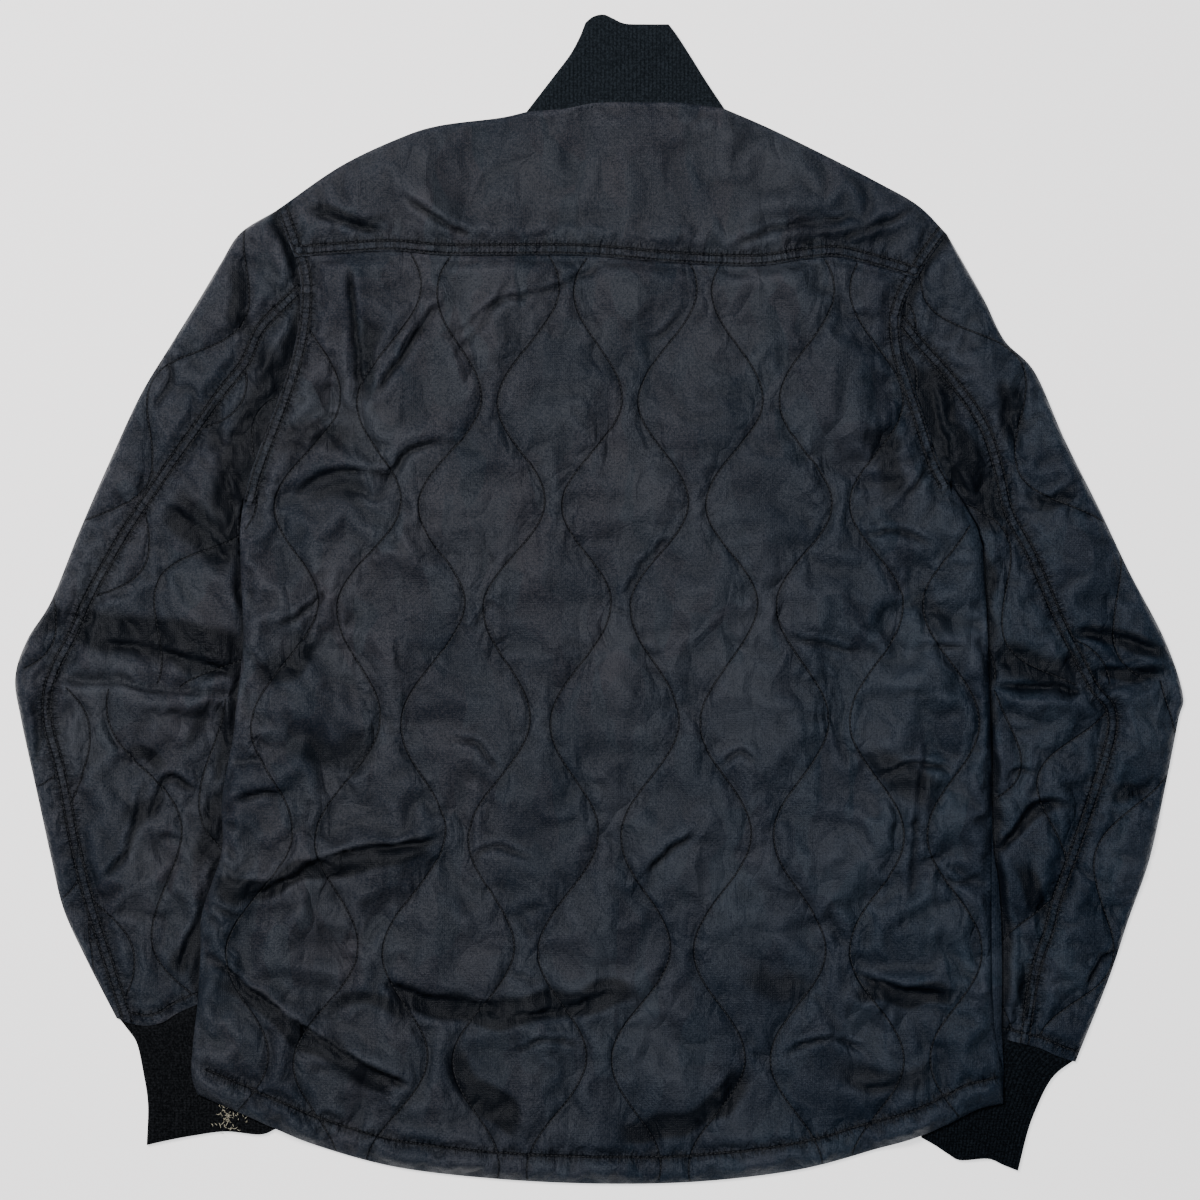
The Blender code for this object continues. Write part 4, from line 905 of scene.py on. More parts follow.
def net(ring, spacing, lines=()):
    """A skin of even triangles inside the ring, with points along each of the lines."""
    closed = np.vstack([ring, ring[:1]])
    fixed = [resample(line, max(1, round(path_length(line) / spacing))) for line in lines]
    fixed = [line for line in fixed if len(line) > 1]
    edge_track = Track([closed])
    points = [ring]
    creases = []
    count = len(ring)
    taken = kdtree.KDTree(sum(map(len, fixed)) + 1)
    placed = 0
    for line in fixed:
        line = line[edge_track.gap(line) > 0.45 * spacing]
        for x, y in line:
            taken.insert((x, y, 0), placed)
            placed += 1
        points.append(line)
        gaps = np.linalg.norm(np.diff(line, axis=0), axis=1)
        creases += [(count + i, count + i + 1) for i, gap in enumerate(gaps) if gap < 1.6 * spacing]
        count += len(line)
    taken.balance()
    loose = lattice(ring, spacing)
    loose = loose[inside(loose, ring)]
    loose = loose[edge_track.gap(loose) > 0.55 * spacing]
    if placed:
        clear = np.array([taken.find((x, y, 0))[2] > 0.6 * spacing for x, y in loose])
        loose = loose[clear]
    points = np.vstack([*points, loose])
    corners, _, faces, *_ = delaunay_2d_cdt(
        [tuple(point) for point in points], creases, [list(range(len(ring)))], 1, 1e-7
    )
    if len(corners) != len(points):
        points = np.array([tuple(corner) for corner in corners])
    return Skin(points, faces, np.arange(len(ring)))


class Cloth:
    """Collects one piece's triangles. Points in the same place are one point."""

    def __init__(self):
        self.points = []
        self.measures = []
        self.index = {}
        self.faces = []

    def add(self, skin, heights, measures=None, down=False):
        """Adds a skin and returns its points' numbers. down turns its faces to look down."""
        if measures is None:
            measures = np.tile(FAR, (len(skin.points), 1))
        ids = []
        for (x, y), z, measure in zip(skin.points, heights, measures):
            key = (round(float(x), 6), round(float(y), 6), round(float(z), 6))
            if key not in self.index:
                self.index[key] = len(self.points)
                self.points.append(key)
                self.measures.append(measure)
            ids.append(self.index[key])
        for face in skin.faces:
            corners = [ids[corner] for corner in face]
            if len(set(corners)) == len(corners):
                self.faces.append(corners[::-1] if down else corners)
        return ids

    def wall(self, upper, lower):
        """Joins two rings of points, upper and lower."""
        count = len(upper)
        for i in range(count):
            j = (i + 1) % count
            corners = [upper[j], upper[i], lower[i], lower[j]]
            unique = list(dict.fromkeys(corners))
            if len(unique) > 2:
                self.faces.append(unique)

    def build(self, name, finish):
        """Makes the piece that dresses the CAD node of this name."""
        mesh = bpy.data.meshes.new(name)
        shift = np.array([*CAD_SHIFT, 0])
        mesh.from_pydata(np.array(self.points) + shift, [], self.faces)
        mesh.validate()
        measures = np.array(self.measures, np.float32)
        for face in self.faces:
            if np.ptp(measures[face, RUN]) > RUN_JUMP:
                measures[face, GATHERED] = 0
        for title, column, unit in ATTRIBUTES:
            values = measures[:, column] / unit
            mesh.attributes.new(title, "FLOAT", "POINT").data.foreach_set("value", values)
        mesh.shade_smooth()
        mesh.materials.append(finish)
        made = add_piece(f"{name}_cloth", mesh)
        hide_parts(name)
        return made


def add_piece(name, mesh):
    """Puts a mesh into the scene as a piece that stays with the jacket."""
    made = bpy.data.objects.new(name, mesh)
    bpy.context.scene.collection.objects.link(made)
    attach(made, "root")
    return made


def settle(skin, heights, pins):
    """Lets cloth that is cut too big for its outline puff up and buckle between its stitches.

    pins says how firmly each point is held, from 0 to 1. Returns how each point has moved.
    """
    scene = bpy.context.scene
    mesh = bpy.data.meshes.new("settling")
    start = np.column_stack([skin.points, heights])
    mesh.from_pydata(start * CLOTH_SCALE, [], skin.faces)
    cloth_object = bpy.data.objects.new("settling", mesh)
    scene.collection.objects.link(cloth_object)
    group = cloth_object.vertex_groups.new(name="pins")
    for weight in np.unique(pins[pins > 0]):
        group.add(np.flatnonzero(pins == weight).tolist(), float(weight), "REPLACE")
    modifier = cloth_object.modifiers.new("settle", "CLOTH")
    modifier.point_cache.frame_end = CLOTH_FRAMES
    modifier.settings.vertex_group_mass = "pins"
    modifier.settings.effector_weights.gravity = 0
    for name, value in CLOTH_SETTINGS.items():
        setattr(modifier.settings, name, value)
    for number in range(1, CLOTH_FRAMES + 1):
        scene.frame_set(number)
    shaped = cloth_object.evaluated_get(bpy.context.evaluated_depsgraph_get()).data
    moved = np.empty(3 * len(start))
    shaped.vertices.foreach_get("co", moved)
    bpy.data.objects.remove(cloth_object)
    scene.frame_set(1)
    return moved.reshape(-1, 3) / CLOTH_SCALE - start


def smooth_taper(points, over, start, *edge_names):
    """0 at the edges, or within start of them, rising to 1."""
    return smooth((gap_from(points, *edge_names) - start) / over)


def quarter_circle(share):
    """0 at an edge, rising steeply, to 1 where share is 1."""
    return np.sqrt(1 - (1 - np.clip(share, 0, 1)) ** 2)


def rounding(points, radius, *edge_names):
    """The form of a rounded edge: 0 at the edges, rising to 1 at this radius from them."""
    return quarter_circle(gap_from(points, *edge_names) / radius)


def measure_rows(points, rows, piece=""):
    """For each point: the gap to the nearest stitches, the run along the nearest seam or hem, how
    far that seam or hem gathers the cloth here, and how deep it sinks and how much painted shade
    it gets, the last two from 0 to 1.
    """
    gap = Track(stitched(rows)).gap(points)
    hollow_and_shade = hollow_and_shade_at(piece, points)
    held = [*rows.double, *rows.single]
    if not held:
        return np.column_stack([gap, 0 * gap, 0 * gap, hollow_and_shade])
    seam_gap = Track(held).gap(points)
    run = Track([*rows.middles, *rows.single]).measure(points)[1]
    return np.column_stack([gap, run, 1 - smooth((seam_gap - gap) / (2 * MM)), hollow_and_shade])


# ---- Materials: colours are linear red, green, blue and alpha ----
NYLON_DARK = (0.0082, 0.0118, 0.0182, 1.0)
NYLON_LIGHT = (0.0328, 0.0352, 0.0420, 1.0)
NYLON_ROUGHNESS = 0.46
NYLON_SPECULAR = 0.12
# painted light: tints between the warm lamps' light and the blue sky's light
WARM_LIT_TINT = (1.0, 0.94, 0.95, 1.0)  # each flat patch of nylon is tinted between these two
SKY_LIT_TINT = (0.86, 0.97, 1.0, 1.0)
PATCH_LEAN = 0.24  # and leans by up to this much
# painted shade: bluer and darker away from the warm window lamp at the upper left
LAMP_FALLOFF_TINT = (0.66, 0.85, 1.0, 1.0)  # of all the cloth at the right side and the hem
STITCH_SHADE = (0.001, 0.0012, 0.002, 1.0)
# painted shade: the colour nylon is darkened toward in hollows, crease troughs and gathers
PAINTED_SHADE = (0.0004, 0.0010, 0.0022, 1.0)  # nylon in a hollow
RIB_DARK = (0.0060, 0.0085, 0.0110, 1.0)
RIB_LIGHT = (0.0170, 0.0230, 0.0290, 1.0)
CUFF_DARK = (0.0020, 0.0024, 0.0030, 1.0)
CUFF_LIGHT = (0.0110, 0.0125, 0.0145, 1.0)
THREAD = (0.003, 0.0035, 0.005, 1.0)
YARN = (0.42, 0.40, 0.30, 1.0)
FLOOR_WHITE = (0.9, 0.9, 0.9, 1.0)
GLINT = (0.88, 0.94, 1.0, 1.0)  # tint of every reflection


def add_node(tree, kind, inputs=None, **settings):
    """A shader node. inputs maps a socket's name or number to a value or to another socket."""
    made = tree.nodes.new(kind)
    for name, value in settings.items():
        setattr(made, name, value)
    for socket, value in (inputs or {}).items():
        if isinstance(value, bpy.types.NodeSocket):
            tree.links.new(value, made.inputs[socket])
        else:
            made.inputs[socket].default_value = value
    return made


def math_node(tree, operation, *values):
    return add_node(tree, "ShaderNodeMath", dict(enumerate(values)), operation=operation).outputs[0]


def vector_node(tree, operation, *values):
    return add_node(tree, "ShaderNodeVectorMath", dict(enumerate(values)), operation=operation).outputs[0]


def map_node(tree, value, low, high, to_low=0.0, to_high=1.0):
    inputs = {"Value": value, "From Min": low, "From Max": high, "To Min": to_low, "To Max": to_high}
    return add_node(tree, "ShaderNodeMapRange", inputs, interpolation_type="SMOOTHSTEP").outputs[0]


def mix_node(tree, share, first, second, blend="MIX"):
    inputs = {0: share, 6: first, 7: second}
    return add_node(tree, "ShaderNodeMix", inputs, data_type="RGBA", blend_type=blend).outputs[2]


def texture_node(tree, kind, place, inputs, **settings):
    return add_node(tree, f"ShaderNodeTex{kind}", {"Vector": place, **inputs}, **settings)


def attribute_node(tree, name):
    return add_node(tree, "ShaderNodeAttribute", attribute_name=name).outputs["Fac"]


def turned_node(tree, place, degrees, squeeze):
    """Coordinates turned by this much, in which features come out long and thin."""
    turn = (0.0, 0.0, math.radians(degrees))
    inputs = {"Vector": place, "Rotation": turn, "Scale": (1.0, squeeze, 1.0)}
    return add_node(tree, "ShaderNodeMapping", inputs).outputs[0]


def bump_nodes(tree, normal, layers):
    """The normal after each layer of relief: its height, its strength and its depth in metres."""
    for height, strength, depth in layers:
        inputs = {"Height": height, "Strength": strength, "Distance": depth}
        if normal is not None:
            inputs["Normal"] = normal
        normal = add_node(tree, "ShaderNodeBump", inputs).outputs[0]
    return normal


def new_material(name, roughness, specular, sheen=0.0):
    made = bpy.data.materials.new(name)
    made.use_nodes = True
    tree = made.node_tree
    shader = tree.nodes["Principled BSDF"]
    shader.inputs["Roughness"].default_value = roughness
    shader.inputs["Sheen Weight"].default_value = sheen
    shader.inputs["Sheen Roughness"].default_value = 0.45
    shader.inputs["Specular IOR Level"].default_value = specular
    shader.inputs["Specular Tint"].default_value = GLINT
    return made, tree, shader


def shaded_from_lamp(tree, colour, place):
    """The colour with painted shade: bluer and darker toward the jacket's right side and its hem, away
    from the warm lamp.
    """
    split = add_node(tree, "ShaderNodeSeparateXYZ", {"Vector": place})
    across = math_node(tree, "MULTIPLY_ADD", split.outputs[1], -0.45, split.outputs[0])
    return mix_node(tree, map_node(tree, across, -0.12, 0.42), colour, LAMP_FALLOFF_TINT, "MULTIPLY")


def gathered_cloth(tree, gap, run, held):
    """Short wrinkles beside the stitches, and how strong they are, from 0 to 1."""
    along = add_node(tree, "ShaderNodeCombineXYZ", {0: run, 1: math_node(tree, "MULTIPLY", gap, 0.22)})
    fine = {"Scale": 0.5, "Detail": 2.0, "Roughness": 0.55}
    wrinkle = texture_node(tree, "Noise", along.outputs[0], fine).outputs[0]
    away = math_node(tree, "MULTIPLY_ADD", wrinkle, 10.0, gap)
    fade = math_node(tree, "MULTIPLY", map_node(tree, away, 5.5, 9.5, 1.0, 0.0), held)
    return wrinkle, fade


def nylon_colour(tree, place, specks, worn, patch, wrinkle, fade):
    """Worn and unworn cloth, dark in the line of stitches, with painted shade in gathers, hollows and
    toward its right side and hem, and painted light on its patches and ridges.
    """
    gap, held, hollow_and_shade = [attribute_node(tree, name) for name in ("stitch_gap", "gathered", "hollow_and_shade")]
    share = map_node(tree, math_node(tree, "MULTIPLY_ADD", specks, 1.6, worn), 1.0, 1.6)
    cloth = mix_node(tree, share, NYLON_DARK, NYLON_LIGHT)
    wider = math_node(tree, "MULTIPLY_ADD", held, -0.45, 1.0)  # on the gap to a seam's own stitches
    seam = map_node(tree, math_node(tree, "MULTIPLY", gap, wider), 0.2, 1.0, 0.2, 1.0)
    tint = mix_node(tree, seam, STITCH_SHADE, cloth)
    # painted light: each patch is tinted between warm lamp light and cool sky light, as a leaning patch
    # would catch them
    light_tinted = mix_node(tree, 1.0, tint, mix_node(tree, patch, WARM_LIT_TINT, SKY_LIT_TINT), "MULTIPLY")
    # painted light: lighter on ridges and darker in dips, as highlights and shade would fall there
    ridges = add_node(tree, "ShaderNodeNewGeometry").outputs["Pointiness"]
    curvature_light = map_node(tree, ridges, 0.46, 0.55, 0.72, 1.25)
    curvature_lit = mix_node(tree, 1.0, light_tinted, curvature_light, "MULTIPLY")
    # painted shade in the valleys of the wrinkles that the seams gather
    pinched = math_node(tree, "MULTIPLY", map_node(tree, wrinkle, 0.44, 0.5, 0.6, 0.0), fade)
    # painted shade in hollows, in crease troughs and beside the body's edge
    unshaded = map_node(tree, hollow_and_shade, 0.05, 0.7, 1.0, 0.2)
    lit = math_node(tree, "MULTIPLY", unshaded, math_node(tree, "SUBTRACT", 1.0, pinched))
    return shaded_from_lamp(tree, mix_node(tree, lit, PAINTED_SHADE, curvature_lit), place)


def nylon_material():
    """Fine, slightly glossy taffeta, crumpled, gathered along its stitches."""
    made, tree, shader = new_material("nylon_taffeta", NYLON_ROUGHNESS, NYLON_SPECULAR)
    place = add_node(tree, "ShaderNodeTexCoord").outputs["Object"]
    gap, run, held = [attribute_node(tree, name) for name in ("stitch_gap", "stitch_run", "gathered")]
    wrinkle, fade = gathered_cloth(tree, gap, run, held)
    worn = texture_node(tree, "Noise", place, {"Scale": 14.0, "Detail": 6.0}).outputs[0]
    fine = {"Scale": 750.0, "Detail": 3.0, "Roughness": 0.7}
    specks = texture_node(tree, "Noise", place, fine).outputs[0]

    # Flats with sharp edges, as in crumpled cloth: patches that lean and are tinted each in its own
    # way, broad ones where the cloth is freshly crumpled, and small ones near the stitches
    bend = texture_node(tree, "Noise", place, {"Scale": 30.0, "Detail": 1.0}).outputs[1]
    bent = vector_node(tree, "MULTIPLY_ADD", bend, (0.02, 0.02, 0.0), turned_node(tree, place, -35, 0.5))
    cells = {"Scale": 62.0, "Smoothness": 0.14}
    patch = texture_node(tree, "Voronoi", bent, cells, feature="SMOOTH_F1").outputs["Color"]
    broad_flats, small_flats = [
        texture_node(tree, "Voronoi", bent, {"Scale": scale}, feature="DISTANCE_TO_EDGE").outputs[0]
        for scale in (30.0, 90.0)
    ]
    fresh = map_node(tree, worn, 0.42, 0.6, 0.1, 1.0)
    near = map_node(tree, gap, 2.0, 16.0, 1.0, 0.15)
    lean = vector_node(tree, "SUBTRACT", patch, (0.5, 0.5, 0.5))
    normal = add_node(tree, "ShaderNodeNewGeometry").outputs["Normal"]
    leaning = vector_node(tree, "MULTIPLY_ADD", lean, (PATCH_LEAN, PATCH_LEAN, 0.0), normal)

    ridges = {"Scale": 70.0, "Detail": 3.0, "Roughness": 0.6, "Distortion": 0.6}
    creased = texture_node(
        tree, "Noise", turned_node(tree, place, -32, 0.3), ridges,
        noise_type="RIDGED_MULTIFRACTAL", normalize=True,
    ).outputs[0]
    threads = {"Scale": 260.0, "Distortion": 1.0}
    weave = math_node(tree, "MULTIPLY", *[
        texture_node(tree, "Wave", place, threads, bands_direction=direction).outputs[1]
        for direction in "XY"
    ])
    bumps = bump_nodes(tree, vector_node(tree, "NORMALIZE", leaning), (
        (creased, 0.5, 0.0018),
        (math_node(tree, "MULTIPLY", broad_flats, fresh), 1.0, 0.009),
        (math_node(tree, "MULTIPLY", small_flats, near), 1.0, 0.0028),
        (math_node(tree, "MULTIPLY", wrinkle, fade), 0.9, 0.0016),
        (map_node(tree, gap, 0.0, 1.0), 0.7, 0.0005),
        (weave, 0.5, 0.0002),
        (specks, 0.55, 0.0009),
    ))
    colour = nylon_colour(tree, place, specks, worn, patch, wrinkle, fade)
    tree.links.new(colour, shader.inputs["Base Color"])
    tree.links.new(bumps, shader.inputs["Normal"])
    return made


def rib_material(name, dark, light):
    """Dull wool: its courses of stitches, and fuzz."""
    made, tree, shader = new_material(name, 0.9, 0.05)
    place = add_node(tree, "ShaderNodeTexCoord").outputs["Object"]
    fuzz = texture_node(tree, "Noise", place, {"Scale": 700.0, "Detail": 3.0}).outputs[0]
    yarn = mix_node(tree, map_node(tree, fuzz, 0.35, 0.75), dark, light)
    loops = {"Scale": 190.0, "Distortion": 3.0, "Detail Scale": 3.0}
    courses = texture_node(tree, "Wave", place, loops, bands_direction="Y").outputs[1]
    bumps = bump_nodes(tree, None, ((courses, 0.5, 0.0005), (fuzz, 0.5, 0.0004)))
    # painted shade toward the right side and the hem, as on the nylon
    tree.links.new(shaded_from_lamp(tree, yarn, place), shader.inputs["Base Color"])
    tree.links.new(bumps, shader.inputs["Normal"])
    return made


def plain_material(name, colour, roughness):
    """Thread or yarn, lighter and darker along its twist."""
    made, tree, shader = new_material(name, roughness, 0.4, sheen=0.1)
    place = add_node(tree, "ShaderNodeTexCoord").outputs["Object"]
    twist = texture_node(tree, "Noise", place, {"Scale": 1500.0}).outputs[0]
    darker = tuple(0.75 * value for value in colour[:3]) + (1.0,)
    tree.links.new(mix_node(tree, twist, darker, colour), shader.inputs["Base Color"])
    return made


NYLON = nylon_material()
RIB = rib_material("rib_knit_wool", RIB_DARK, RIB_LIGHT)
CUFF_RIB = rib_material("rib_knit_cuff", CUFF_DARK, CUFF_LIGHT)
THREAD_MATERIAL = plain_material("stitch_thread", THREAD, 0.6)


# ---- Pieces ----
def stitched(rows):
    return [*rows.double, *rows.single, *rows.quilting]


def marked(rows):
    return [*stitched(rows), *rows.folds]


def puff_up(skin, heights, measures, firm, ease=1.0):
    """The skin and its heights after the cloth has settled, and kept near where it was.

    ease says how much of its own shape the cloth takes, as a share.
    """
    hold = np.where(measures[:, GAP] < 0.3 * GRID, STITCH_HOLD, 0.0)
    hold[firm] = 1.0
    hold[skin.ring] = 1.0
    moved = settle(skin, heights, hold)
    aside = moved[:, :2]
    length = np.linalg.norm(aside, axis=1)
    aside = aside * np.minimum(1, CLOTH_SHIFT / np.maximum(length, 1e-9))[:, None]
    rise = ease * CLOTH_RISE * np.tanh(moved[:, 2] / CLOTH_RISE)
    return Skin(skin.points + aside, skin.faces, skin.ring), heights + rise


# The functions of the plan that shape a panel. padding: heights before the cloth settles. firm:
# where it is held down. details: heights added after that. edge: the heights with the panel's
# edges rounded off. bottom: the heights of its lower side.
Shape = namedtuple("Shape", "padding firm details edge bottom")


def dressed_slab(name, shape, rows):
    """A panel with an upper and a lower side, closed all round."""
    ring = loop_points(name)
    top = net(ring, GRID, marked(rows))
    low = net(ring, COARSE)
    measures = measure_rows(top.points, rows, name)
    points = top.points
    padded_skin, heights = puff_up(
        top, shape.padding(points), measures, shape.firm(points), loose_cloth(points)
    )
    sunk = HOLLOW_DEPTH * measures[:, HOLLOW_AND_SHADE]
    heights = np.maximum(heights + shape.details(points) - sunk, MOST_PINCHED)
    cloth = Cloth()
    upper = cloth.add(padded_skin, shape.edge(points, heights), measures)
    lower = cloth.add(low, shape.bottom(low.points), down=True)
    cloth.wall([upper[i] for i in top.ring], [lower[i] for i in low.ring])
    return cloth.build(name, NYLON)


def slack_beside(points, paths):
    """Less crumpled close to the stitches, as a share."""
    return 0.35 + 0.65 * smooth(Track(paths).gap(points) / (9 * MM))


BODY_ARMHOLES = [f"armhole_{side}_{part}" for side in SIDES for part in ("mid", "low")]
BODY_EDGES = [f"side_{side}_{part}" for side in SIDES for part in ("top", "low")]


def make_back_body():
    name = "back_body"
    ring = loop_points(name)

    def off_bands(points):
        return (gap_from(points, *BODY_ARMHOLES) > SEAM_BAND) & (gap_from(points, *BODY_EDGES) > 3 * MM)

    rows = Rows(
        single=clip_paths([offset(EDGES["hem"], HEM_BAND)], ring),
        quilting=clip_paths(quilt_paths(QUILTS["back"]), ring, off_bands),
        **seam_paths(ring, (BODY_ARMHOLES, SEAM_HALF)),
    )
    free = [*BODY_EDGES, "hem"]

    def padding(points):
        hem = gap_from(points, "hem")
        pinched = 0.25 + 0.75 * smooth(np.abs(hem - HEM_BAND) / (9 * MM))
        full = pinched * smooth(hem / (8 * MM))
        full *= smooth_taper(points, 10 * MM, SEAM_BAND, *BODY_ARMHOLES)
        full *= smooth_taper(points, 12 * MM, 0, *BODY_EDGES, "yoke_seam")
        slack = smooth_taper(points, 6 * MM, 0, *free)
        slack *= smooth_taper(points, 12 * MM, SEAM_BAND, *BODY_ARMHOLES)
        slack *= smooth_taper(points, 10 * MM, 0, "yoke_seam")
        near = slack_beside(points, stitched(rows))
        rise = VISUAL_PUFF * quilt_puff(QUILTS["back"], points) * full
        rise += HEM_ROLL * np.sin(np.pi * np.clip(hem / HEM_BAND, 0, 1))
        rise += fold_rise(name, points) * slack
        rise += (crumple(name, points) * near * loose_cloth(points) + SLACK_RISE) * slack
        return rise

    def firm(points):
        return gap_from(points, *BODY_ARMHOLES) < SEAM_BAND + 1 * MM

    def details(points):
        slack = smooth_taper(points, 6 * MM, 0, *free) * smooth_taper(points, 10 * MM, 0, "yoke_seam")
        quilted = smooth(Track(rows.quilting).gap(points) / (6 * MM))
        added = seam_band(points, BODY_ARMHOLES, SEAM_HALF)
        added += puckers("back_quilting", points, rows.quilting) * slack
        added += puckers("back_seams", points, [*rows.double, *rows.single])
        added += puckers("back_edges", points, [EDGES[edge_name] for edge_name in BODY_EDGES])
        added += facets(name, points) * slack * quilted * loose_cloth(points)
        tucked = YOKE_STEP * (1 - smooth_taper(points, 4 * MM, 0, "yoke_seam"))
        return added + crease_rise(name, points) - tucked

    def edge(points, heights):
        floor = HIGH_BOTTOM + RIM
        full = HIGH_TOP - floor + heights
        radius = (5.5 + 2 * noise_at(points, 24 * MM, 15.0)) * MM
        return TUCK_LIFT * ramp(points) + floor + full * rounding(points, radius, *free)

    def bottom(points):
        return HIGH_BOTTOM + TUCK_LIFT * ramp(points)

    made = dressed_slab(name, Shape(padding, firm, details, edge, bottom), rows)
    return made, rows


def make_back_yoke():
    name = "back_yoke"
    ring = loop_points(name)
    armholes = ["armhole_left_top", "armhole_right_top"]
    seams = [*armholes, "yoke_seam"]
    rows = Rows(**seam_paths(ring, (armholes, SEAM_HALF), (["yoke_seam"], -SEAM_HALF)))
    free = ["shoulder_left", "shoulder_right"]

    def padding(points):
        full = smooth_taper(points, 10 * MM, SEAM_BAND, *seams)
        full *= smooth_taper(points, 16 * MM, 0, *free, "neck")
        rise = YOKE_PUFF + fold_rise(name, points) + crumple(name, points)
        return rise * full

    def firm(points):
        return gap_from(points, *seams) < SEAM_BAND + 1 * MM

    def details(points):
        slack = smooth_taper(points, 10 * MM, SEAM_BAND, *seams, "neck")
        added = seam_band(points, armholes, SEAM_HALF)
        added += seam_band(points, ["yoke_seam"], -SEAM_HALF)
        added += puckers("yoke_seams", points, rows.double)
        added += facets(name, points) * slack
        return added + crease_rise(name, points) * slack

    def edge(points, heights):
        floor = HIGH_BOTTOM + RIM
        return floor + (HIGH_TOP - floor + heights) * rounding(points, YOKE_ROUND, *free)

    def bottom(points):
        return np.full(len(points), HIGH_BOTTOM)

    made = dressed_slab(name, Shape(padding, firm, details, edge, bottom), rows)
    return made, rows


def quilt_groove(points, paths):
    """Depth of the quilting's grooves on a side that rests on the table."""
    return GROOVE_DEPTH * np.exp(-Track(paths).gap(points) / GROOVE_WIDTH)


# Edges of each front that are rounded below
FRONT_FREE_EDGES = {
    "left": ("side_left_low", "front_hem_left"),
    "right": ("side_right_front", "front_hem_right"),
}


def make_front(side):
    """Its plain upper side lies under the back; its quilted side rests on the table."""
    name = f"front_{side}"
    ring = loop_points(name)
    rows = Rows(quilting=clip_paths(quilt_paths(QUILTS["back"], step=4), ring))
    under = net(ring, LOW_GRID, rows.quilting)
    upper = net(ring, COARSE)
    groove = quilt_groove(under.points, rows.quilting)
    groove = groove + puckers("front_quilting", under.points, rows.quilting)
    groove = np.clip(groove, 0, GROOVE_DEEPEST)
    round_up = FRONT_ROUND_UP * (1 - rounding(under.points, FLAT_ROUND, *FRONT_FREE_EDGES[side]))
    under_heights = TUCK_LIFT * ramp(under.points) + np.maximum(groove, round_up)
    share = ramp(upper.points)
    upper_heights = LOW_WALL + TUCK_LIFT * share - RAMP_SLACK * 4 * share * (1 - share)
    cloth = Cloth()
    low = cloth.add(under, under_heights, measure_rows(under.points, rows), down=True)
    high = cloth.add(upper, upper_heights)
    cloth.wall([high[i] for i in upper.ring], [low[i] for i in under.ring])
    made = cloth.build(name, NYLON)
    return made, None


def below_elbow(points, side):
    """How far each point lies below the elbow's crease, in metres: positive on the forearm."""
    crease = np.array(ELBOW_MM[side], float) * MM
    return np.interp(points[:, 0], crease[:, 0], crease[:, 1]) - points[:, 1]


def sleeve_quilts(side, part):
    """The quilting above and below the elbow."""
    return [QUILTS.get(f"{part}_{side}_{at}") or QUILTS[f"{part}_{side}"] for at in ("arm", "fore")]


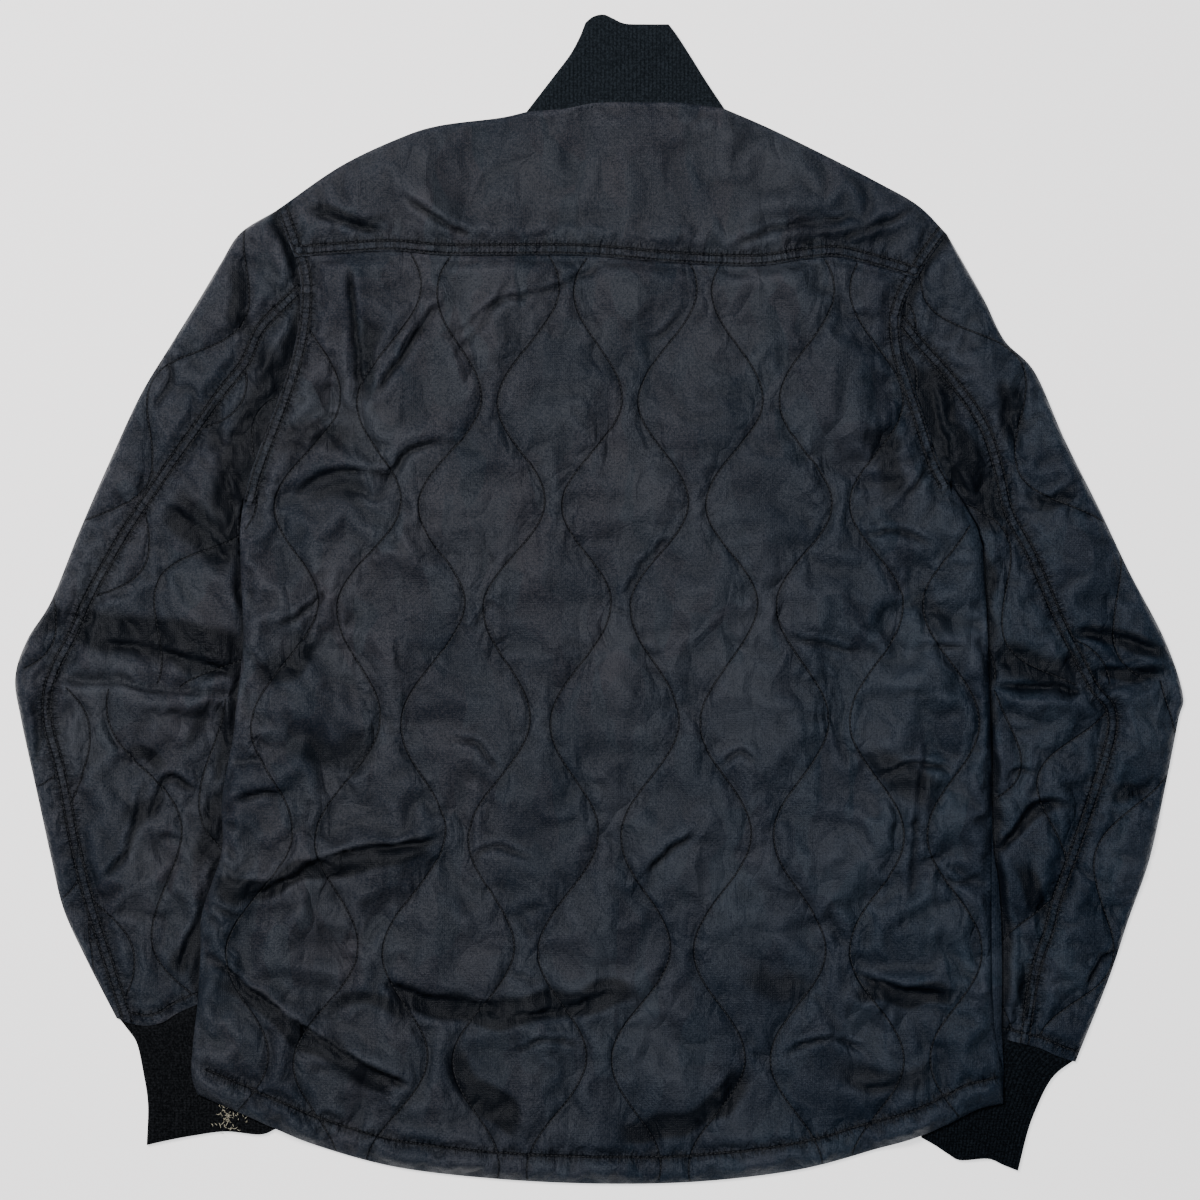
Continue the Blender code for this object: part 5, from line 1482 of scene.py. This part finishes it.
def make_sleeve_panel(side, part):
    """part is outer, round the sleeve's outer edge, or inner, round the edge beside the body."""
    name = f"sleeve_{part}_{side}"
    folded = FOLDED[name]
    seam = f"sleeve_{side}_seam"
    armholes = [f"armhole_{side}_{at}" for at in ("top", "mid", "low")]
    ends = [f"sleeve_{side}_end_{letter}" for letter in "abc"]
    quilts = sleeve_quilts(side, part)
    top_ring = loop_points(f"{name}_top")
    under_ring = loop_points(f"{name}_under")

    def quilting(ring):
        paths = []
        for quilt, sign in zip(quilts, (-1, 1)):
            paths += clip_paths(
                quilt_paths(quilt),
                ring,
                lambda points: (sign * below_elbow(points, side) > 3 * MM)
                & (gap_from(points, seam) > 4 * MM)
                & (gap_from(points, *ends) > END_BAND),
            )
        return paths

    end_rows = [offset(EDGES[end], by * END_BAND) for end in ends for by in (1, -1)]
    rows = Rows(
        single=clip_paths(end_rows, top_ring),
        quilting=quilting(top_ring),
        **seam_paths(top_ring, ([seam], 0.0)),
    )

    def padding(points):
        below = below_elbow(points, side)
        bent = smooth(np.abs(below) / (12 * MM))
        puff = np.where(below > 0, quilt_puff(quilts[1], points), quilt_puff(quilts[0], points)) * bent
        puff *= smooth_taper(points, 10 * MM, SEAM_BAND / 2, seam)
        puff *= smooth_taper(points, 12 * MM, 0, *armholes)
        puff *= smooth_taper(points, 8 * MM, END_BAND, *ends)
        near = slack_beside(points, stitched(rows))
        slack = smooth_taper(points, 10 * MM, SEAM_BAND / 2, seam)
        return VISUAL_PUFF * puff + (crumple("sleeve", points) * near + SLACK_RISE) * slack

    def firm(points):
        return gap_from(points, seam) < SEAM_BAND / 2

    def details(points):
        below = below_elbow(points, side)
        lip = np.clip(below / CREASE_STEP, 0, 1) * (1 - smooth(below / CREASE_RUN))
        lip *= smooth((gap_from(points, f"sleeve_{side}_outer") - 6 * MM) / (40 * MM))
        slack = smooth(Track(stitched(rows)).gap(points) / (6 * MM))
        relief = CREASE_LIP * lip + seam_band(points, [seam], 0.0)
        relief += END_RISE * (1 - smooth((gap_from(points, *ends) - 0.8 * END_BAND) / (0.3 * END_BAND)))
        relief += puckers("sleeve_quilting", points, rows.quilting)
        relief += puckers("sleeve_seams", points, [*rows.double, *rows.single])
        relief += facets("sleeve", points) * slack
        return relief + crease_rise(name, points)

    def edge(points, heights):
        over = TUCK_FADE * (1 + 0.7 * noise_at(points, 30 * MM, 97.0))
        relief = heights * smooth(gap_to(points, BODY) / np.maximum(over, 1 * MM))
        return FOLD_HEIGHT + (HIGH_TOP - FOLD_HEIGHT + relief) * rounding(points, EDGE_ROUND, *folded)

    top = net(top_ring, SLEEVE_GRID, marked(rows))
    under_rows = quilting(under_ring)
    under = net(under_ring, LOW_GRID, under_rows)
    low_folds = [fold for fold in folded if fold in LOOPS[f"{name}_under"]]
    round_up = FOLD_HEIGHT * (1 - rounding(under.points, FLAT_ROUND, *low_folds))
    under_heights = np.maximum(quilt_groove(under.points, under_rows), round_up)
    measures = measure_rows(top.points, rows, name)
    sunk = HOLLOW_DEPTH * measures[:, HOLLOW_AND_SHADE]
    settled, top_heights = puff_up(top, padding(top.points), measures, firm(top.points))
    top_heights = edge(top.points, np.maximum(top_heights + details(top.points) - sunk, MOST_PINCHED))
    for skin, heights in ((top, top_heights), (under, under_heights)):
        heights[on_edges(skin, folded)] = FOLD_HEIGHT
    cloth = Cloth()
    cloth.add(settled, top_heights, measures)
    cloth.add(under, under_heights, measure_rows(under.points, Rows(quilting=under_rows)), down=True)
    made = cloth.build(name, NYLON)
    return made, rows


def on_edges(skin, names):
    """Which of the skin's ring points lie on the named edges."""
    stations = np.vstack([EDGES[name] for name in names])
    keys = {(round(x, 6), round(y, 6)) for x, y in stations.tolist()}
    return [i for i in skin.ring if (round(skin.points[i, 0], 6), round(skin.points[i, 1], 6)) in keys]


# ---- Rib knit ----
def rib_columns(starts, ends, rows, first, last):
    """Columns of points from the starts to the ends, bowed like the first and last edges."""
    down = np.linspace(0, 1, rows)[:, None]
    first_bow = first - (first[0] + down * (first[-1] - first[0]))
    last_bow = last - (last[0] + down * (last[-1] - last[0]))
    columns = []
    for over, start, end in zip(np.linspace(0, 1, len(starts)), starts, ends):
        columns.append(start + down * (end - start) + (1 - over) * first_bow + over * last_bow)
    return np.array(columns)


def grid_skin(columns):
    """A skin of quads over columns of points."""
    count, rows = columns.shape[:2]
    ids = np.arange(count * rows).reshape(count, rows)
    quads = np.stack([ids[:-1, :-1], ids[1:, :-1], ids[1:, 1:], ids[:-1, 1:]], axis=-1)
    return Skin(columns.reshape(-1, 2), quads.reshape(-1, 4).tolist(), None)


def rib_profile(count):
    """Rounded ribs with narrow grooves between them."""
    return np.abs(np.sin(np.pi * np.arange(count) / RIB_POINTS)) ** 0.6


def tucked_in(starts, ends):
    """The starts of the ribs, moved back under the seam that holds them."""
    back = starts - ends
    length = np.maximum(np.linalg.norm(back, axis=1), 0.1 * MM)
    return starts + TUCK_IN * back / length[:, None]


def under_seam(columns):
    """Height of the ribs along each column, as a share: low where the seam covers them."""
    run = np.linalg.norm(columns - columns[:, :1], axis=2)
    return 0.55 + 0.45 * smooth((run - TUCK_IN) / (5 * MM))


def make_cuff(side):
    """A tube pressed flat, its ribs running from the sleeve to its own edge."""
    name = f"cuff_{side}"
    count, rows = CUFF_RIBS * RIB_POINTS + 1, CUFF_ROWS
    first = resample(EDGES[f"{name}_outer"], rows - 1)
    last = resample(EDGES[f"{name}_inner"], rows - 1)
    ends = resample(EDGES[f"{name}_hem"], count - 1)
    starts = tucked_in(resample(EDGES[f"{name}_top"], count - 1), ends)
    columns = rib_columns(starts, ends, rows, first, last)
    over = np.linspace(0, 1, count)
    beside = np.minimum(over, 1 - over) * CUFF_WIDTH
    ribs = rib_profile(count)
    crown = HIGH_TOP - FOLD_HEIGHT + RIB_DEPTH * (ribs - 1) + 0.5 * MM
    wave = noise_at(columns.reshape(-1, 2), 30 * MM, 41.0).reshape(count, rows)
    raised = (crown[:, None] + 0.5 * MM * wave) * quarter_circle(beside / EDGE_ROUND)[:, None]
    thinned = 0.5 + 0.5 * smooth(np.linspace(1, 0, rows) / CUFF_EDGE)[None, :]
    top = FOLD_HEIGHT + raised * thinned * under_seam(columns)
    depth = FOLD_HEIGHT - 0.5 * MM * (1 - ribs[:, None])
    low = FOLD_HEIGHT - depth * quarter_circle(beside / FLAT_ROUND)[:, None]
    low = np.broadcast_to(low, top.shape)
    cloth = Cloth()
    skin = grid_skin(columns)
    cloth.add(skin, top.reshape(-1), down=side == "left")
    cloth.add(skin, low.reshape(-1), down=side == "right")
    made = cloth.build(name, CUFF_RIB)
    return made, None


def make_collar():
    """A band of ribs over the neck's opening, on two lower halves that part at the front."""
    count, rows = COLLAR_RIBS * RIB_POINTS + 1, COLLAR_ROWS
    neck = EDGES["neck"][::-1]
    crowns = np.vstack([EDGES["collar_left"][:-1], EDGES["collar_top"], EDGES["collar_right"][::-1][1:]])
    x = np.linspace(neck[0, 0], neck[-1, 0], count)
    tips = at_x(crowns, x)
    feet = tucked_in(at_x(neck, x), tips)
    down = np.linspace(0, 1, rows)[:, None]
    columns = np.array([foot + down * (tip - foot) for foot, tip in zip(feet, tips)])
    skin = grid_skin(columns)
    rim = gap_from(skin.points, "collar_left", "collar_right", "collar_top").reshape(count, rows)
    crown = HIGH_BOTTOM + COLLAR_WALL - FOLD_HEIGHT + RIB_DEPTH * (rib_profile(count) - 1)
    wave = noise_at(skin.points, 34 * MM, 47.0).reshape(count, rows)
    raised = (crown[:, None] + 0.8 * MM * wave) * quarter_circle(rim / EDGE_ROUND) * under_seam(columns)
    cloth = Cloth()
    cloth.add(skin, (FOLD_HEIGHT + raised).reshape(-1))
    for half in SIDES:
        low = net(loop_points(f"collar_front_{half}"), COLLAR_GRID)
        heights = FOLD_HEIGHT * (1 - rounding(low.points, FLAT_ROUND, "collar_left", "collar_right"))
        cloth.add(low, heights, down=True)
    made = cloth.build("collar", RIB)
    return made, None


# ---- Frayed spot ----
FRAY_SPOT = (-245 * MM, -341 * MM)
FRAY_SPREAD = (5 * MM, 4.5 * MM)
FRAY_YARNS = 60
FRAY_WIDTH = 0.35 * MM
FRAY_LENGTH_MM = (1.0, 3.4)
FRAY_BOW_MM = 0.8
FRAY_STEPS = 3


def make_fray():
    """Pale broken yarns that stand out of a worn spot on the left cuff."""
    dice = Random(5)
    points, faces = [], []
    for _ in range(FRAY_YARNS):
        spread = dice.gauss(0, 1), dice.gauss(0, 1)
        turn = dice.uniform(0, 2 * math.pi)
        length = dice.uniform(*FRAY_LENGTH_MM) * MM
        bow = dice.uniform(-FRAY_BOW_MM, FRAY_BOW_MM) * MM
        start = np.array(FRAY_SPOT) + np.array(FRAY_SPREAD) * spread
        across = np.array([-math.sin(turn), math.cos(turn)])
        along = np.array([math.cos(turn), math.sin(turn)])
        base = len(points)
        for step in range(FRAY_STEPS + 1):
            share = step / FRAY_STEPS
            arch = math.sin(math.pi * share)
            middle = start + share * length * along + bow * arch * across
            z = HIGH_TOP + (0.2 + 0.9 * arch) * MM
            for side in (-1, 1):
                points.append((*(middle + side * FRAY_WIDTH / 2 * across), z))
        for step in range(FRAY_STEPS):
            a = base + 2 * step
            faces.append((a, a + 2, a + 3, a + 1))
    mesh = bpy.data.meshes.new("fray")
    mesh.from_pydata(points, [], faces)
    mesh.materials.append(plain_material("broken_yarn", YARN, 0.8))
    add_piece("fray_cuff_left", mesh)


# ---- Threads ----
# A stitch, from where it leaves the cloth to where it goes in again: the share of its length, its
# points across as shares of half its width, and the height of its middle in mm.
STITCH_PROFILE = (
    (0.02, (0,), -0.25),
    (0.22, (-1, 0, 1), 0.25),
    (0.60, (-1, 0, 1), 0.30),
    (0.82, (0,), -0.25),
)
STITCH_SIDE = -0.1 * MM
OVERHEAD = 100 * MM  # from here the stitches look down for the cloth


def sew(panel, rows, name):
    """Short stitches along the rows, laid on the panel."""
    tree = BVHTree.FromPolygons(
        [vertex.co for vertex in panel.data.vertices], [face.vertices for face in panel.data.polygons]
    )
    points, faces = [], []
    for path in stitched(rows):
        count = int(path_length(path) / STITCH_PITCH)
        if count < 2:
            continue
        ends = resample(path, count) + CAD_SHIFT
        heights = []
        for x, y in ends:
            hit = tree.ray_cast(Vector((x, y, OVERHEAD)), Vector((0, 0, -1)))[0]
            heights.append(hit.z if hit else HIGH_TOP)
        places = np.column_stack([ends, heights])
        for start, end in zip(places, places[1:]):
            add_stitch(points, faces, start, end)
    mesh = bpy.data.meshes.new(name)
    mesh.from_pydata(points, [], faces)
    mesh.shade_smooth()
    mesh.materials.append(THREAD_MATERIAL)
    add_piece(name, mesh)


def add_stitch(points, faces, start, end):
    """One stitch: a thread that dips into the cloth at both ends."""
    across = np.array([start[1] - end[1], end[0] - start[0]])
    across *= THREAD_WIDTH / 2 / np.linalg.norm(across)
    first = len(points)
    for share, turns, up in STITCH_PROFILE:
        x, y, z = start + share * (end - start)
        for turn in turns:
            lift = up * MM if turn == 0 else STITCH_SIDE
            points.append((x + turn * across[0], y + turn * across[1], z + lift))
    low, high, last = first + 1, first + 4, first + 7
    for side in (0, 1):
        faces.append((low + side, low + side + 1, first))
        faces.append((high + side, high + side + 1, low + side + 1, low + side))
        faces.append((last, high + side + 1, high + side))


# ---- Everything together ----
dressed = {
    "back_body": make_back_body(),
    "back_yoke": make_back_yoke(),
    "collar": make_collar(),
}
for side in SIDES:
    dressed[f"front_{side}"] = make_front(side)
    dressed[f"cuff_{side}"] = make_cuff(side)
    for part in ("outer", "inner"):
        dressed[f"sleeve_{part}_{side}"] = make_sleeve_panel(side, part)
make_fray()
for name, (panel, rows) in dressed.items():
    if rows is not None:
        sew(panel, rows, f"stitches_{name}")


# ---- Floor, light and camera ----
FLOOR_HALF = 6.0
FLOOR_GLOW = 1.1
VIEW_WIDTH = 0.792
VIEW_MIDDLE = (0.7 * MM, -0.5 * MM, 8 * MM)

# Studio lamps, metres and watts: each aims at the jacket's middle.
Lamp = namedtuple("Lamp", "name size power colour place")
LAMPS = (
    Lamp("overhead", 1.0, 40, (1.0, 0.94, 0.93), (0.0, 0.2, 3.7)),
    Lamp("window", 0.9, 60, (1.0, 0.93, 0.91), (-0.75, 0.65, 2.0)),
)
SKY_COLOUR = (0.40, 0.70, 1.0, 1.0)
SKY_STRENGTH = 0.10


def make_floor(name, outline, height, glow):
    """A flat sheet of the pale floor. The part under the jacket's body doesn't glow."""
    mesh = bpy.data.meshes.new(name)
    mesh.from_pydata([(x, y, height) for x, y in outline], [], [range(len(outline))])
    finish, _, shader = new_material(name, 0.9, 0.2)
    shader.inputs["Base Color"].default_value = FLOOR_WHITE
    shader.inputs["Emission Color"].default_value = (1.0, 1.0, 1.0, 1.0)
    shader.inputs["Emission Strength"].default_value = glow
    mesh.materials.append(finish)
    floor = bpy.data.objects.new(name, mesh)
    bpy.context.scene.collection.objects.link(floor)


def add_lamp(lamp):
    light = bpy.data.lights.new(lamp.name, "AREA")
    light.shape = "DISK"
    light.size = lamp.size
    light.energy = lamp.power
    light.color = lamp.colour
    holder = bpy.data.objects.new(lamp.name, light)
    holder.location = lamp.place
    holder.rotation_euler = (-Vector(lamp.place)).to_track_quat("-Z", "Y").to_euler()
    bpy.context.scene.collection.objects.link(holder)


def make_camera():
    """Straight above the jacket, far enough away that it hardly looks nearer in the middle."""
    lens = bpy.data.cameras.new("camera")
    lens.lens = 150
    lens.sensor_width = 36
    lens.clip_end = 30
    camera = bpy.data.objects.new("camera", lens)
    x, y, z = VIEW_MIDDLE
    camera.location = (x, y, z + VIEW_WIDTH * lens.lens / lens.sensor_width)
    bpy.context.scene.collection.objects.link(camera)
    bpy.context.scene.camera = camera


def make_sky():
    world = bpy.data.worlds.new("studio")
    world.use_nodes = True
    background = world.node_tree.nodes["Background"]
    background.inputs["Color"].default_value = SKY_COLOUR
    background.inputs["Strength"].default_value = SKY_STRENGTH
    bpy.context.scene.world = world


corners = ((-1, -1), (1, -1), (1, 1), (-1, 1))
make_floor("floor", [(x * FLOOR_HALF, y * FLOOR_HALF) for x, y in corners], -0.2 * MM, FLOOR_GLOW)
make_floor("floor_under_body", BODY + CAD_SHIFT, -0.1 * MM, 0.0)
make_camera()
for lamp in LAMPS:
    add_lamp(lamp)
make_sky()
